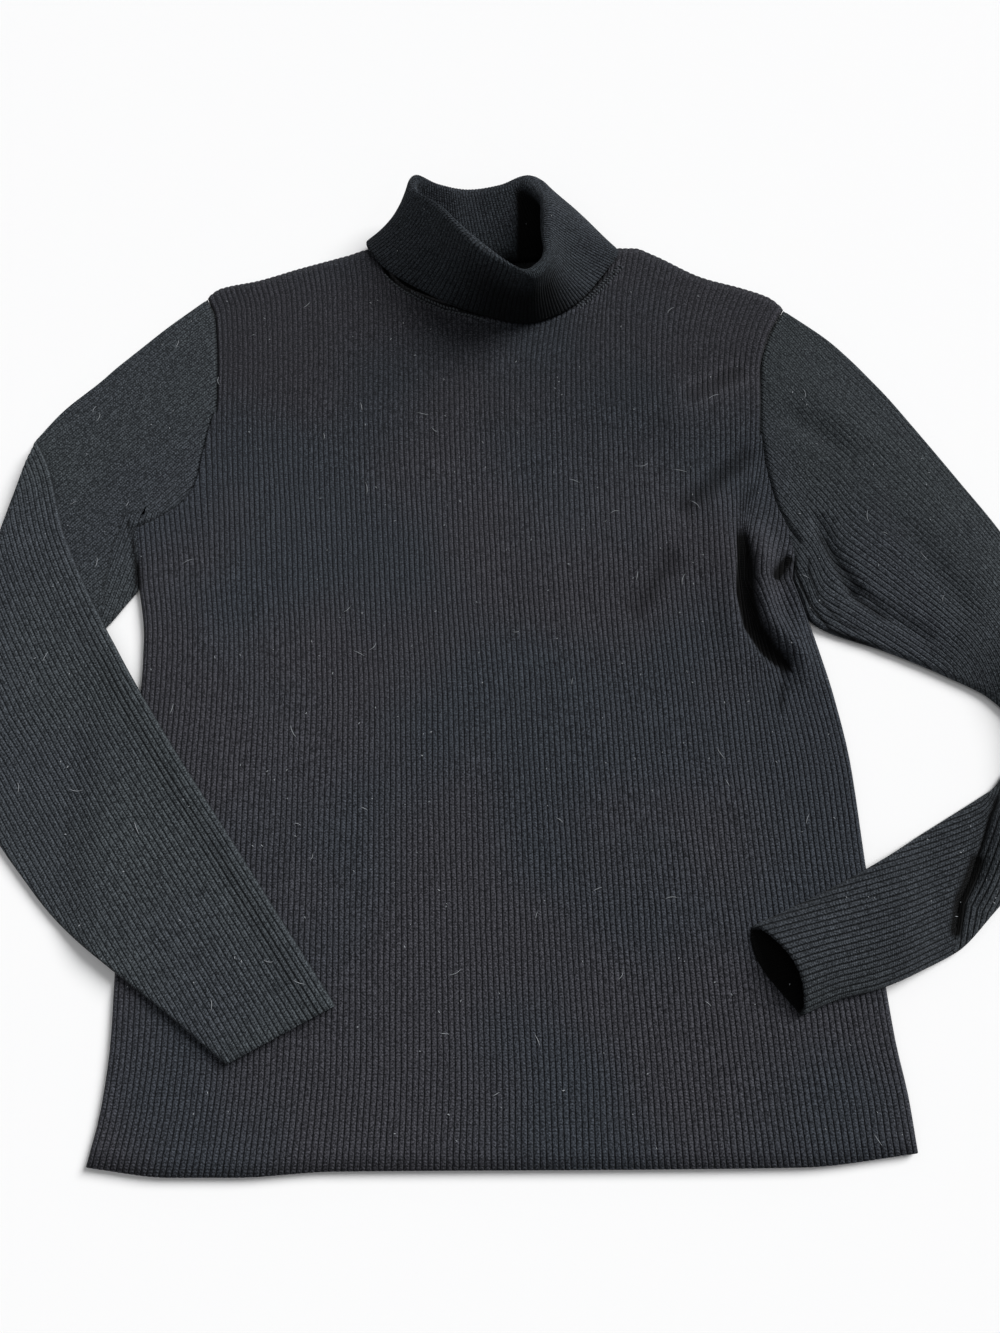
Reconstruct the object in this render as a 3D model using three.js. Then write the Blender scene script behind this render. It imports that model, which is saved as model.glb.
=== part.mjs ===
// Turtleneck sweater in fine rib knit, laid flat on its back.
// Millimetres, +X to the right, +Y towards the collar, +Z up from the surface that it lies on.
import * as THREE from 'three';

// Cloth
const WALL = 1.9;
const SEAM_GAP = 0.3;
const RIB_RISE = 0.4;
const LAYER = WALL + SEAM_GAP;
const STACK = 2 * WALL + SEAM_GAP;
const MID = STACK / 2;
const EDGE_ROUND = 3;
const EDGE_LIP = 0.6;

// The sleeves' seams stand off the body's by this much, and by more from here on down to the underarm
const SEAM_OFF = 1.3 * SEAM_GAP;
const UNDERARM_CLEAR = 1.4;
const UNDERARM_FROM = 0.93;

// Ribs across each piece
const BODY_RIBS = 134;
const SLEEVE_RIBS = 40;
const COLLAR_RIBS = 96;

// Points across the plain sides
const COLLAR_LINING = 60;
const FRONT_LINING = { first: 6, last: 130, count: 31 };
const BACK_LINING = { first: 20, last: 114, count: 6 };

// Body outline, measured from the hem
const SPLIT = 340;
const LEFT_RIB = 16;
const RIGHT_RIB = 123;

const SIDES = [
  { y: 0, left: -224, right: 227 },
  { y: 30, left: -219, right: 225 },
  { y: 60, left: -217.5, right: 221 },
  { y: 100, left: -219, right: 218 },
  { y: 160, left: -221, right: 214 },
  { y: 220, left: -221.5, right: 211 },
  { y: 262, left: -220.5, right: 205 },
  { y: 300, left: -222, right: 196.5 },
  { y: 340, left: -229.5, right: 186 },
];

const HEM = [
  { rib: 0, y: 1 },
  { rib: 14, y: -4 },
  { rib: 24, y: -4 },
  { rib: 40, y: -1 },
  { rib: 90, y: 0 },
  { rib: 115, y: 1 },
  { rib: 134, y: 8 },
];

// Under each arm the panel ends on the lower armhole. Between the armholes it runs on upwards.
const CHEST = [
  { rib: 0, x: -235, y: 374 },
  { rib: 2, x: -229, y: 377 },
  { rib: 8, x: -214, y: 386 },
  { rib: 12, x: -204, y: 395 },
  { rib: 14, x: -198, y: 408 },
  { rib: 15, x: -195, y: 431 },
  { rib: 16, x: -189, y: 460 },
  { rib: 123, x: 172, y: 442 },
  { rib: 125, x: 175, y: 414 },
  { rib: 128, x: 178.5, y: 394 },
  { rib: 131, x: 184, y: 378 },
  { rib: 134, x: 190, y: 364 },
];

const FRONT_TOP = [
  { rib: 16, x: -202, y: 547 },
  { rib: 18.5, x: -193, y: 554 },
  { rib: 26, x: -167, y: 560.5 },
  { rib: 33.5, x: -140, y: 570 },
  { rib: 43, x: -106, y: 581 },
  { rib: 47, x: -91, y: 586 },
  { rib: 51, x: -77, y: 563 },
  { rib: 55.5, x: -60, y: 551 },
  { rib: 60, x: -44, y: 544 },
  { rib: 65.5, x: -24, y: 537 },
  { rib: 73, x: 5, y: 532 },
  { rib: 79.5, x: 30, y: 533 },
  { rib: 84.5, x: 48, y: 540 },
  { rib: 88.5, x: 62, y: 552 },
  { rib: 92, x: 75, y: 570 },
  { rib: 94, x: 82, y: 587 },
  { rib: 97, x: 94, y: 587 },
  { rib: 100, x: 106, y: 582 },
  { rib: 109, x: 140, y: 563 },
  { rib: 116, x: 168, y: 554 },
  { rib: 120.5, x: 185, y: 547 },
  { rib: 123, x: 195, y: 538 },
];

const BACK_TOP = [
  ...FRONT_TOP.filter((row) => row.rib <= 47),
  { rib: 58, x: -50, y: 577 },
  { rib: 70, x: -4, y: 573.5 },
  { rib: 82, x: 40, y: 577 },
  ...FRONT_TOP.filter((row) => row.rib >= 94),
];

// How far each upper armhole seam bows in from a straight line, by height between chest and shoulder
const ARMHOLE_BOW = [
  { height: 0, left: 0, right: 0 },
  { height: 0.35, left: 3.2, right: -5.1 },
  { height: 0.62, left: 4.4, right: -7.9 },
  { height: 0.8, left: 4.6, right: -6 },
  { height: 1, left: 0, right: 0 },
];

// Soft ridges of the front, each along one line
const SWELLS = [
  { x1: 166, y1: 380, x2: 180, y2: 298, wide: 9, high: 8 },
  { x1: 141, y1: 380, x2: 152, y2: 280, wide: 13, high: 3 },
  { x1: 120, y1: 440, x2: 168, y2: 455, wide: 22, high: 3.5 },
  { x1: 100, y1: 380, x2: 20, y2: 355, wide: 30, high: 2 },
  { x1: -60, y1: 470, x2: 90, y2: 480, wide: 46, high: 2.2 },
];

// Left sleeve: upper edge, lower edge. The arm folds at the elbow and the forearm comes back over it.
const LEFT_ARM = [
  { along: 0.2, ax: -228, ay: 524, bx: -243, by: 366 },
  { along: 0.36, ax: -243, ay: 509, bx: -236, by: 338 },
  { along: 0.6, ax: -268, ay: 483, bx: -250, by: 306 },
  { along: 0.82, ax: -292, ay: 459, bx: -292, by: 262 },
  { along: 1, ax: -309, ay: 439, bx: -338, by: 234 },
];

const LEFT_FOREARM = [
  { along: 0, ax: -309, ay: 439, bx: -338, by: 234 },
  { along: 0.1, ax: -294, ay: 412, bx: -330, by: 212 },
  { along: 0.22, ax: -280, ay: 374, bx: -309, by: 190 },
  { along: 0.36, ax: -256, ay: 326, bx: -280, by: 161 },
  { along: 0.5, ax: -228, ay: 279, bx: -252, by: 134 },
  { along: 0.64, ax: -196, ay: 231, bx: -222, by: 111 },
  { along: 0.8, ax: -152, ay: 169, bx: -190, by: 86 },
  { along: 1, ax: -92, ay: 84, bx: -151, by: 53 },
];

// Right sleeve: outer edge, inner edge and how far the upper layer stands off the lower one
const RIGHT_ARM = [
  { along: 0.07, ax: 224, ay: 514, bx: 194, by: 349, puff: 3 },
  { along: 0.14, ax: 247, ay: 487, bx: 195, by: 325, puff: 6 },
  { along: 0.22, ax: 271, ay: 453, bx: 205, by: 307, puff: 8 },
  { along: 0.32, ax: 298, ay: 411, bx: 238, by: 293, puff: 9 },
  { along: 0.42, ax: 325, ay: 367, bx: 276, by: 276, puff: 10 },
  { along: 0.5, ax: 347, ay: 318, bx: 301, by: 262, puff: 13 },
  { along: 0.57, ax: 356, ay: 268, bx: 313, by: 245, puff: 16 },
  { along: 0.64, ax: 349, ay: 216, bx: 311, by: 228, puff: 16 },
  { along: 0.7, ax: 322, ay: 173, bx: 302, by: 215, puff: 14 },
  { along: 0.75, ax: 285, ay: 134, bx: 295, by: 207, puff: 11 },
  { along: 0.785, ax: 262, ay: 113, bx: 287, by: 202, puff: 5 },
  { along: 0.83, ax: 240, ay: 103, bx: 258, by: 185, puff: 5 },
  { along: 0.9, ax: 211, ay: 92, bx: 214, by: 160, puff: 6 },
  { along: 0.95, ax: 190, ay: 87, bx: 180, by: 143, puff: 9 },
  { along: 1, ax: 170, ay: 83, bx: 150, by: 128, puff: 12 },
];

// Collar, folded over once: the foot stands in the neck, the fold is on top, the hem hangs outside.
// Rows go round from the front centre to the right, the back and the left.
const COLLAR_ROUND = [
  { fx: 5, fy: 534, tx: 19, ty: 533, tz: 50, hx: 12, hy: 527.5, hz: 6.6 },
  { fx: 32, fy: 536.5, tx: 33, ty: 541, tz: 47, hx: 37, hy: 531, hz: 6.6 },
  { fx: 56, fy: 550, tx: 39, ty: 556, tz: 42, hx: 61, hy: 549, hz: 6.6 },
  { fx: 71, fy: 569, tx: 41, ty: 571, tz: 39, hx: 77, hy: 568, hz: 6.6 },
  { fx: 73, fy: 581, tx: 40, ty: 587, tz: 37, hx: 87, hy: 590, hz: 5.8 },
  { fx: 60, fy: 582, tx: 33, ty: 608, tz: 33, hx: 74, hy: 598, hz: 2.6 },
  { fx: 38, fy: 579.5, tx: 19, ty: 624, tz: 30, hx: 50, hy: 593, hz: 1.4 },
  { fx: 12, fy: 577, tx: 0, ty: 620, tz: 26, hx: 20, hy: 586, hz: 1.4 },
  { fx: -15, fy: 577, tx: -22, ty: 618, tz: 24, hx: -12, hy: 584, hz: 1.4 },
  { fx: -40, fy: 579, tx: -43, ty: 619, tz: 28, hx: -45, hy: 586, hz: 1.4 },
  { fx: -62, fy: 582, tx: -56, ty: 620, tz: 34, hx: -74, hy: 596, hz: 2.2 },
  { fx: -78, fy: 577, tx: -50, ty: 603, tz: 40, hx: -92, hy: 591, hz: 5.8 },
  { fx: -70, fy: 561, tx: -40, ty: 588, tz: 44, hx: -81, hy: 570, hz: 6.6 },
  { fx: -49, fy: 549, tx: -26, ty: 570, tz: 47, hx: -54, hy: 551, hz: 6.6 },
  { fx: -21, fy: 539, tx: -8, ty: 550, tz: 49, hx: -22, hy: 535.5, hz: 6.6 },
];
const FOOT_Z = 3.2;
const ROLL = 3;

const lerp = (a, b, t) => a + (b - a) * t;
const clamp = (t) => Math.min(Math.max(t, 0), 1);
const ease = (t) => clamp(t) ** 2 * (3 - 2 * clamp(t));
const steps = (from, to, count) => Array.from({ length: count + 1 }, (_, i) => lerp(from, to, i / count));

// A smooth curve through one column of a table, without overshoot between its rows
function curve(rows, along, column) {
  const at = rows.map((row) => row[along]);
  const value = rows.map((row) => row[column]);
  const rise = at.slice(1).map((x, i) => (value[i + 1] - value[i]) / (x - at[i]));
  const slope = at.map((_, i) => {
    const before = rise[Math.max(i - 1, 0)];
    const after = rise[Math.min(i, rise.length - 1)];
    return before * after > 0 ? (2 * before * after) / (before + after) : 0;
  });
  return (x) => {
    const i = Math.min(Math.max(at.findIndex((edge) => edge > x) - 1, 0), at.length - 2);
    const k = x >= at[at.length - 1] ? at.length - 2 : i;
    const span = at[k + 1] - at[k];
    const t = clamp((x - at[k]) / span);
    const a = (1 + 2 * t) * (1 - t) ** 2 * value[k] + t * (1 - t) ** 2 * span * slope[k];
    const b = t * t * (3 - 2 * t) * value[k + 1] + t * t * (t - 1) * span * slope[k + 1];
    return a + b;
  };
}

// Points and faces of one closed solid
class Skin {
  constructor() {
    this.points = [];
    this.faces = [];
  }

  row(list) {
    const first = this.points.length;
    this.points.push(...list);
    return list.map((_, i) => first + i);
  }

  // Triangles between two rows of points, which may differ in number
  strip(a, b, atA, atB) {
    let i = 0;
    let j = 0;
    while (i < a.length - 1 || j < b.length - 1) {
      const useA = j === b.length - 1 || (i < a.length - 1 && atA[i + 1] + atA[i] <= atB[j + 1] + atB[j]);
      if (useA) {
        this.faces.push([a[i], a[i + 1], b[j]]);
        i += 1;
      } else {
        this.faces.push([a[i], b[j + 1], b[j]]);
        j += 1;
      }
    }
  }

  volume() {
    return this.faces.reduce((sum, face) => {
      const [a, b, c] = face.map((i) => new THREE.Vector3(...this.points[i]));
      return sum + a.dot(b.cross(c)) / 6;
    }, 0);
  }

  mesh(name, material) {
    const faces = this.volume() < 0 ? this.faces.map(([a, b, c]) => [a, c, b]) : this.faces;
    const geometry = new THREE.BufferGeometry();
    geometry.setAttribute('position', new THREE.Float32BufferAttribute(this.points.flat(), 3));
    geometry.setIndex(faces.flat());
    geometry.computeVertexNormals();
    const made = new THREE.Mesh(geometry, material);
    made.name = name;
    return made;
  }
}

// Closed rings joined one after the other, and the last to the first
function ringSolid(name, rings, material) {
  const skin = new Skin();
  const rows = rings.map((ring) => {
    const indices = skin.row(ring.points);
    return { indices: [...indices, indices[0]], at: [...ring.at, 1] };
  });
  rows.forEach((row, i) => {
    const next = rows[(i + 1) % rows.length];
    skin.strip(row.indices, next.indices, row.at, next.at);
  });
  return skin.mesh(name, material);
}

// Plan of the body. Level 0 is the hem, 1 the split, 2 the chest and 3 the shoulders and neck.
const leftSide = curve(SIDES, 'y', 'left');
const rightSide = curve(SIDES, 'y', 'right');
const hemLine = curve(HEM, 'rib', 'y');
const chestX = curve(CHEST, 'rib', 'x');
const chestY = curve(CHEST, 'rib', 'y');
const bowLeft = curve(ARMHOLE_BOW, 'height', 'left');
const bowRight = curve(ARMHOLE_BOW, 'height', 'right');

function chest(rib) {
  if (rib <= LEFT_RIB || rib >= RIGHT_RIB) return [chestX(rib), chestY(rib)];
  const t = (rib - LEFT_RIB) / (RIGHT_RIB - LEFT_RIB);
  return [lerp(chestX(LEFT_RIB), chestX(RIGHT_RIB), t), lerp(chestY(LEFT_RIB), chestY(RIGHT_RIB), t)];
}

function bodyPlan(topRows) {
  const topX = curve(topRows, 'rib', 'x');
  const topY = curve(topRows, 'rib', 'y');
  return (rib, level) => {
    const across = rib / BODY_RIBS;
    if (level <= 1) {
      const y = SPLIT * level + hemLine(rib) * (1 - level) ** 3;
      return [lerp(leftSide(SPLIT * level), rightSide(SPLIT * level), across), y];
    }
    const [x2, y2] = chest(rib);
    if (level <= 2) {
      return [lerp(lerp(leftSide(SPLIT), rightSide(SPLIT), across), x2, level - 1), lerp(SPLIT, y2, level - 1)];
    }
    const height = level - 2;
    const s = (rib - LEFT_RIB) / (RIGHT_RIB - LEFT_RIB);
    const bow = bowLeft(height) * (1 - s) ** 3 + bowRight(height) * s ** 3;
    return [lerp(x2, topX(rib), height) + bow, lerp(y2, topY(rib), height)];
  };
}

function swell(x, y) {
  return SWELLS.reduce((sum, row) => {
    const dx = row.x2 - row.x1;
    const dy = row.y2 - row.y1;
    const t = clamp(((x - row.x1) * dx + (y - row.y1) * dy) / (dx * dx + dy * dy));
    const off = Math.hypot(x - row.x1 - t * dx, y - row.y1 - t * dy);
    return sum + row.high * Math.exp(-((off / row.wide) ** 2));
  }, 0);
}

// Quarter-round fall towards an edge, 0 on it and 1 from the given distance inwards
const rounding = (off, radius) => Math.sqrt(1 - (1 - clamp(off / radius)) ** 2);

// A body panel: an upper and a lower surface over the same plan, closed by a rim
const LOW_LEVELS = [0, 0.45, 0.8, 1, 1.5, 2];
const HIGH_LEVELS = [2, 2.35, 2.7, 3];

function panelSolid(name, plan, surfaces, material) {
  const skin = new Skin();
  const [upper, lower] = surfaces.map(({ columns, height }) => {
    const place = (rib, level) => {
      const [x, y] = plan(rib, level);
      const side = level < 2 ? Math.min(x - plan(0, level)[0], plan(BODY_RIBS, level)[0] - x) : EDGE_ROUND;
      return [x, y, height(rib, x, y, side)];
    };
    const rowAt = (level, ribs) => ({ at: ribs, indices: skin.row(ribs.map((rib) => place(rib, level))) });
    const low = LOW_LEVELS.map((level) => rowAt(level, columns(level)));
    const chestRow = low[low.length - 1];
    const inner = chestRow.at.map((rib, i) => [rib, i]).filter(([rib]) => rib >= LEFT_RIB && rib <= RIGHT_RIB);
    const middle = { at: inner.map(([rib]) => rib), indices: inner.map(([, i]) => chestRow.indices[i]) };
    const between = (level) => columns(level).filter((rib) => rib >= LEFT_RIB && rib <= RIGHT_RIB);
    const high = [middle, ...HIGH_LEVELS.slice(1).map((level) => rowAt(level, between(level)))];
    return { low, high, chestRow };
  });
  for (const part of ['low', 'high']) {
    for (let i = 0; i < upper[part].length - 1; i += 1) {
      const [a, b] = [upper[part][i], upper[part][i + 1]];
      skin.strip(a.indices, b.indices, a.at, b.at);
      const [c, d] = [lower[part][i + 1], lower[part][i]];
      skin.strip(c.indices, d.indices, c.at, d.at);
    }
  }
  const loop = ({ low, high, chestRow }) => {
    const rim = [];
    const last = (row) => row.indices[row.indices.length - 1];
    const pick = (keep) => chestRow.at.map((rib, i) => [rib, chestRow.indices[i]]).filter(([rib]) => keep(rib));
    low[0].indices.forEach((index, i) => rim.push([low[0].at[i] / BODY_RIBS, index]));
    low.slice(1, -1).forEach((row, i) => rim.push([1 + LOW_LEVELS[i + 1] / 2, last(row)]));
    pick((rib) => rib > RIGHT_RIB)
      .reverse()
      .forEach(([rib, index]) => rim.push([2 + (BODY_RIBS - rib) / (BODY_RIBS - RIGHT_RIB), index]));
    high.slice(0, -1).forEach((row, i) => rim.push([3 + HIGH_LEVELS[i] - 2, last(row)]));
    const top = high[high.length - 1];
    [...top.indices]
      .map((index, i) => [4 + (RIGHT_RIB - top.at[i]) / (RIGHT_RIB - LEFT_RIB), index])
      .reverse()
      .forEach((entry) => rim.push(entry));
    high
      .slice(0, -1)
      .map((row, i) => [5 + 3 - HIGH_LEVELS[i], row.indices[0]])
      .reverse()
      .forEach((entry) => rim.push(entry));
    pick((rib) => rib < LEFT_RIB)
      .reverse()
      .forEach(([rib, index]) => rim.push([6 + (LEFT_RIB - rib) / LEFT_RIB, index]));
    low
      .slice(1, -1)
      .map((row, i) => [7 + (2 - LOW_LEVELS[i + 1]) / 2, row.indices[0]])
      .reverse()
      .forEach((entry) => rim.push(entry));
    rim.push([8, rim[0][1]]);
    return { at: rim.map(([at]) => at), indices: rim.map(([, index]) => index) };
  };
  const [outer, inner] = [loop(upper), loop(lower)];
  skin.strip(inner.indices, outer.indices, inner.at, outer.at);
  return skin.mesh(name, material);
}

const HALF_RIBS = steps(0, BODY_RIBS, 2 * BODY_RIBS);
const underArm = (rib) => rib <= LEFT_RIB || rib >= RIGHT_RIB;

function coarseRibs(level, inside) {
  const edges = [0, 1, 2, BODY_RIBS - 2, BODY_RIBS - 1, BODY_RIBS];
  const wanted = new Set([...edges, LEFT_RIB, RIGHT_RIB, ...inside]);
  if (level === 2) HALF_RIBS.filter(underArm).forEach((rib) => wanted.add(rib));
  if (level === 3) FRONT_TOP.forEach((row) => wanted.add(row.rib));
  return [...wanted].sort((a, b) => a - b);
}

const ribAt = (rib, side) => (Number.isInteger(rib) ? 0 : RIB_RISE * clamp(side / EDGE_ROUND));

const liningRibs = ({ first, last, count }) => steps(first, last, count).map(Math.round);

function frontPanel(material) {
  const inside = liningRibs(FRONT_LINING);
  const raised = (x, y, side) => swell(x, y) * ease(side / EDGE_ROUND);
  return panelSolid('front', bodyPlan(FRONT_TOP), [
    {
      columns: () => HALF_RIBS,
      height: (rib, x, y, side) => {
        const face = lerp(EDGE_LIP, WALL, rounding(side, EDGE_ROUND));
        return LAYER + face + ribAt(rib, side) + raised(x, y, side);
      },
    },
    {
      columns: (level) => coarseRibs(level, inside),
      height: (rib, x, y, side) => LAYER + raised(x, y, side),
    },
  ], material);
}

function backPanel(material) {
  const inside = liningRibs(BACK_LINING);
  return panelSolid('back', bodyPlan(BACK_TOP), [
    { columns: (level) => coarseRibs(level, inside), height: () => WALL },
    {
      columns: (level) => coarseRibs(level, inside),
      height: (rib, x, y, side) => (WALL - EDGE_LIP) * (1 - rounding(side, EDGE_ROUND)),
    },
  ], material);
}

// The armhole's seam line, from the shoulder down to the underarm, set off from the body by a gap
function armhole(first, last, sign) {
  const plan = bodyPlan(FRONT_TOP);
  const upper = [...HIGH_LEVELS].reverse().map((level) => plan(first, level));
  const ribs = HALF_RIBS.filter((rib) => (rib - first) * (rib - last) <= 0 && rib !== first);
  if (last < first) ribs.reverse();
  const points = [...upper, ...ribs.map((rib) => plan(rib, 2))];
  const lengths = [0];
  points.slice(1).forEach((p, i) => lengths.push(lengths[i] + Math.hypot(p[0] - points[i][0], p[1] - points[i][1])));
  return (t) => {
    const want = t * lengths[lengths.length - 1];
    const i = Math.min(Math.max(lengths.findIndex((long) => long > want) - 1, 0), points.length - 2);
    const k = want >= lengths[lengths.length - 1] ? points.length - 2 : i;
    const [p, q] = [points[k], points[k + 1]];
    const long = lengths[k + 1] - lengths[k];
    const part = clamp((want - lengths[k]) / long);
    const out = [(sign * (q[1] - p[1])) / long, (-sign * (q[0] - p[0])) / long];
    const off = SEAM_OFF + UNDERARM_CLEAR * clamp((t - UNDERARM_FROM) / (1 - UNDERARM_FROM));
    return [lerp(p[0], q[0], part) + out[0] * off, lerp(p[1], q[1], part) + out[1] * off];
  };
}

// Rings of a flattened sleeve. A station places a point by its way across and its height in the stack.
const FINE = steps(0, 1, 2 * SLEEVE_RIBS);
const COARSE = [0, 0.015, 0.05, ...steps(0.12, 0.88, 9), 0.95, 0.985, 1];
const LINING = [0, 0.03, 0.15, 0.3, 0.5, 0.7, 0.85, 0.97, 1];
const SEAM_LINING = steps(0, 1, SLEEVE_RIBS);

function sleeveRings(stations) {
  const outer = stations.map(({ place, width, ribbed }, row) => {
    const face = (list, sign, fine) => list.map((t, i) => {
      const off = Math.min(t, 1 - t) * width;
      const rib = fine && i % 2 === 1 ? RIB_RISE * clamp(off / EDGE_ROUND) : 0;
      return place(t, MID + sign * (MID * rounding(off, MID) + rib));
    });
    const upper = ribbed === 'upper' ? FINE : COARSE;
    const lower = [...(ribbed === 'lower' || row === 0 ? FINE : COARSE)].reverse();
    const points = [...face(upper, 1, ribbed === 'upper'), ...face(lower, -1, ribbed === 'lower').slice(1, -1)];
    const at = [...upper.map((t) => t / 2), ...lower.slice(1, -1).map((t) => 1 - t / 2)];
    return { points, at };
  });
  const inner = stations.map(({ place, width }, i) => {
    const inset = WALL / width;
    const lining = i === 0 ? SEAM_LINING : LINING;
    const face = (list, sign) => list.map((t) => {
      const open = t === 0 || t === 1 ? 0 : SEAM_GAP / 2;
      return place(lerp(inset, 1 - inset, t), MID + sign * open);
    });
    const back = [...lining].reverse().slice(1, -1);
    const points = [...face(lining, 1), ...face(back, -1)];
    return { points, at: [...lining.map((t) => t / 2), ...back.map((t) => 1 - t / 2)] };
  });
  return [...outer, ...inner.reverse()];
}

function edges(rows) {
  const names = ['ax', 'ay', 'bx', 'by'];
  const [ax, ay, bx, by] = names.map((name) => curve(rows, 'along', name));
  return (along, t) => [lerp(ax(along), bx(along), t), lerp(ay(along), by(along), t)];
}

// Where a forearm lies on the body or on its own upper arm it is held up, and past them it falls
const RAMP = 30;
const RAMP_START = 9;
const OVER = STACK + 0.8;
const propped = (off) => OVER * (1 - ease((off - RAMP_START) / RAMP));

// Each sleeve runs on square from its slanted seam, and takes its own plan by this far along
const LEFT_BEND = 0.5;
const RIGHT_BEND = 0.2;
const LEFT_ROWS = steps(0.2, 1, 4);
const ELBOW_TURNS = [60, 120];
const HALF_TURN = 180;
const RIGHT_FALLS_FROM = 0.6;

// Under edge of the left upper arm: a point on it, and the way out of it across the forearm
const LEFT_UNDER = { x: -247, y: 309, outX: 0.658, outY: -0.752 };

function leftSleeve(material) {
  const seam = armhole(LEFT_RIB, 0, 1);
  const start = { along: 0, ax: seam(0)[0], ay: seam(0)[1], bx: seam(1)[0], by: seam(1)[1] };
  const arm = edges([start, ...LEFT_ARM]);
  const forearm = edges(LEFT_FOREARM);
  const flat = (plan, along) => (t, h) => {
    const [x, y] = plan(along, t);
    return [x, y, h];
  };
  const across = (plan, along) => {
    const [a, b] = [plan(along, 0), plan(along, 1)];
    return Math.hypot(a[0] - b[0], a[1] - b[1]);
  };
  const hole = { width: across(arm, 0), ribbed: 'upper', place: (t, h) => [...seam(t), h] };
  const upper = LEFT_ROWS.map((along) => {
    const plan = (_, t) => {
      const bend = ease(1 - along / LEFT_BEND) * (1 - t * t);
      const [sx, sy] = seam(t);
      const [x0, y0] = arm(0, t);
      const [x, y] = arm(along, t);
      return [x + (sx - x0) * bend, y + (sy - y0) * bend];
    };
    return { width: across(arm, along), ribbed: 'upper', place: flat(plan, along) };
  });
  const [foldA, foldB] = [arm(1, 0), arm(1, 1)];
  const long = Math.hypot(foldB[0] - foldA[0], foldB[1] - foldA[1]);
  const out = [(foldB[1] - foldA[1]) / long, -(foldB[0] - foldA[0]) / long];
  const foldZ = (OVER + STACK) / 2;
  const turn = ELBOW_TURNS.map((degrees) => {
    const angle = (degrees * Math.PI) / HALF_TURN;
    const place = (t, h) => {
      const radius = foldZ - h;
      const [x, y] = arm(1, t);
      const reach = radius * Math.sin(angle);
      return [x + out[0] * reach, y + out[1] * reach, foldZ - radius * Math.cos(angle)];
    };
    return { width: long, ribbed: 2 * degrees < HALF_TURN ? 'upper' : 'lower', place };
  });
  const fore = LEFT_FOREARM.map(({ along }) => {
    const place = (t, h) => {
      const [x, y] = forearm(along, t);
      const offBody = leftSide(Math.min(y, SPLIT)) - x;
      const offArm = (x - LEFT_UNDER.x) * LEFT_UNDER.outX + (y - LEFT_UNDER.y) * LEFT_UNDER.outY;
      const low = along === 0 ? OVER : propped(Math.min(offBody, offArm));
      return [x, y, low + STACK - h];
    };
    return { width: across(forearm, along), ribbed: 'lower', place };
  });
  return ringSolid('sleeve_left', sleeveRings([hole, ...upper, ...turn, ...fore]), material);
}

function rightSleeve(material) {
  const seam = armhole(RIGHT_RIB, BODY_RIBS, -1);
  const start = { along: 0, ax: seam(0)[0], ay: seam(0)[1], bx: seam(1)[0], by: seam(1)[1], puff: 0 };
  const rows = [start, ...RIGHT_ARM];
  const arm = edges(rows);
  const puff = curve(rows, 'along', 'puff');
  const stations = rows.map(({ along }) => {
    const [a, b] = [arm(along, 0), arm(along, 1)];
    const place = (t, h) => {
      const bend = along > 0 ? ease(1 - along / RIGHT_BEND) * (1 - t * t) : 1;
      const [sx, sy] = seam(t);
      const [x0, y0] = arm(0, t);
      const [x1, y1] = arm(along, t);
      const [x, y] = [x1 + (sx - x0) * bend, y1 + (sy - y0) * bend];
      const low = along > RIGHT_FALLS_FROM ? propped(x - rightSide(Math.min(y, SPLIT))) : 0;
      const lift = h > MID ? puff(along) * Math.sin(Math.PI * t) : 0;
      return [x, y, low + h + lift];
    };
    return { width: Math.hypot(a[0] - b[0], a[1] - b[1]), ribbed: 'upper', place };
  });
  return ringSolid('sleeve_right', sleeveRings(stations), material);
}

// Closed smooth curves round the neck through the collar's foot, fold and hem
function roundCurve(names) {
  const points = COLLAR_ROUND.map((row) => new THREE.Vector3(row[names[0]], row[names[1]], row[names[2]] ?? FOOT_Z));
  const line = new THREE.CatmullRomCurve3(points, true, 'catmullrom', 0.5);
  return (t) => line.getPoint(t);
}

function collar(material) {
  const foot = roundCurve(['fx', 'fy', 'fz']);
  const top = roundCurve(['tx', 'ty', 'tz']);
  const hem = roundCurve(['hx', 'hy', 'hz']);
  const half = WALL / 2;
  // Places by the way along the profile (foot 0 to 1, roll 1 to 2, flap 2 to 3) and the side of the cloth
  const place = (round, way, side) => {
    const [f, t, h] = [foot(round), top(round), hem(round)];
    const up = t.clone().sub(f.clone().add(h).multiplyScalar(0.5)).normalize();
    const out = h.clone().sub(f);
    out.addScaledVector(up, -out.dot(up)).normalize();
    const centre = t.clone().addScaledVector(up, -ROLL);
    const inside = centre.clone().addScaledVector(out, -ROLL);
    const outside = centre.clone().addScaledVector(out, ROLL);
    if (way <= 1) return f.lerp(inside, way).addScaledVector(out, -side);
    if (way >= 2) return outside.lerp(h, way - 2).addScaledVector(out, side);
    const angle = (way - 1) * Math.PI;
    const radius = ROLL + side;
    return centre.addScaledVector(out, -radius * Math.cos(angle)).addScaledVector(up, radius * Math.sin(angle));
  };
  const ring = (count, way, side, rise) => {
    const at = steps(0, 1, count).slice(0, -1);
    const points = at.map((round, i) => place(round, way, side + (i % 2 === 1 ? rise : 0)).toArray());
    return { points, at };
  };
  const shown = steps(0, 3, 6).map((way) => ring(2 * COLLAR_RIBS, way, half, RIB_RISE));
  const hidden = steps(3, 0, 6).map((way) => ring(COLLAR_LINING, way, -half, 0));
  return ringSolid('collar', [...shown, ...hidden], material);
}

const rib = (color) => new THREE.MeshStandardMaterial({ color, roughness: 0.95, metalness: 0 });

const sweater = new THREE.Group();
sweater.name = 'turtleneck_sweater';
sweater.add(
  backPanel(rib('#25272a')),
  frontPanel(rib('#2b2c2f')),
  leftSleeve(rib('#282b2d')),
  rightSleeve(rib('#282b2d')),
  collar(rib('#242729')),
);

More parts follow.
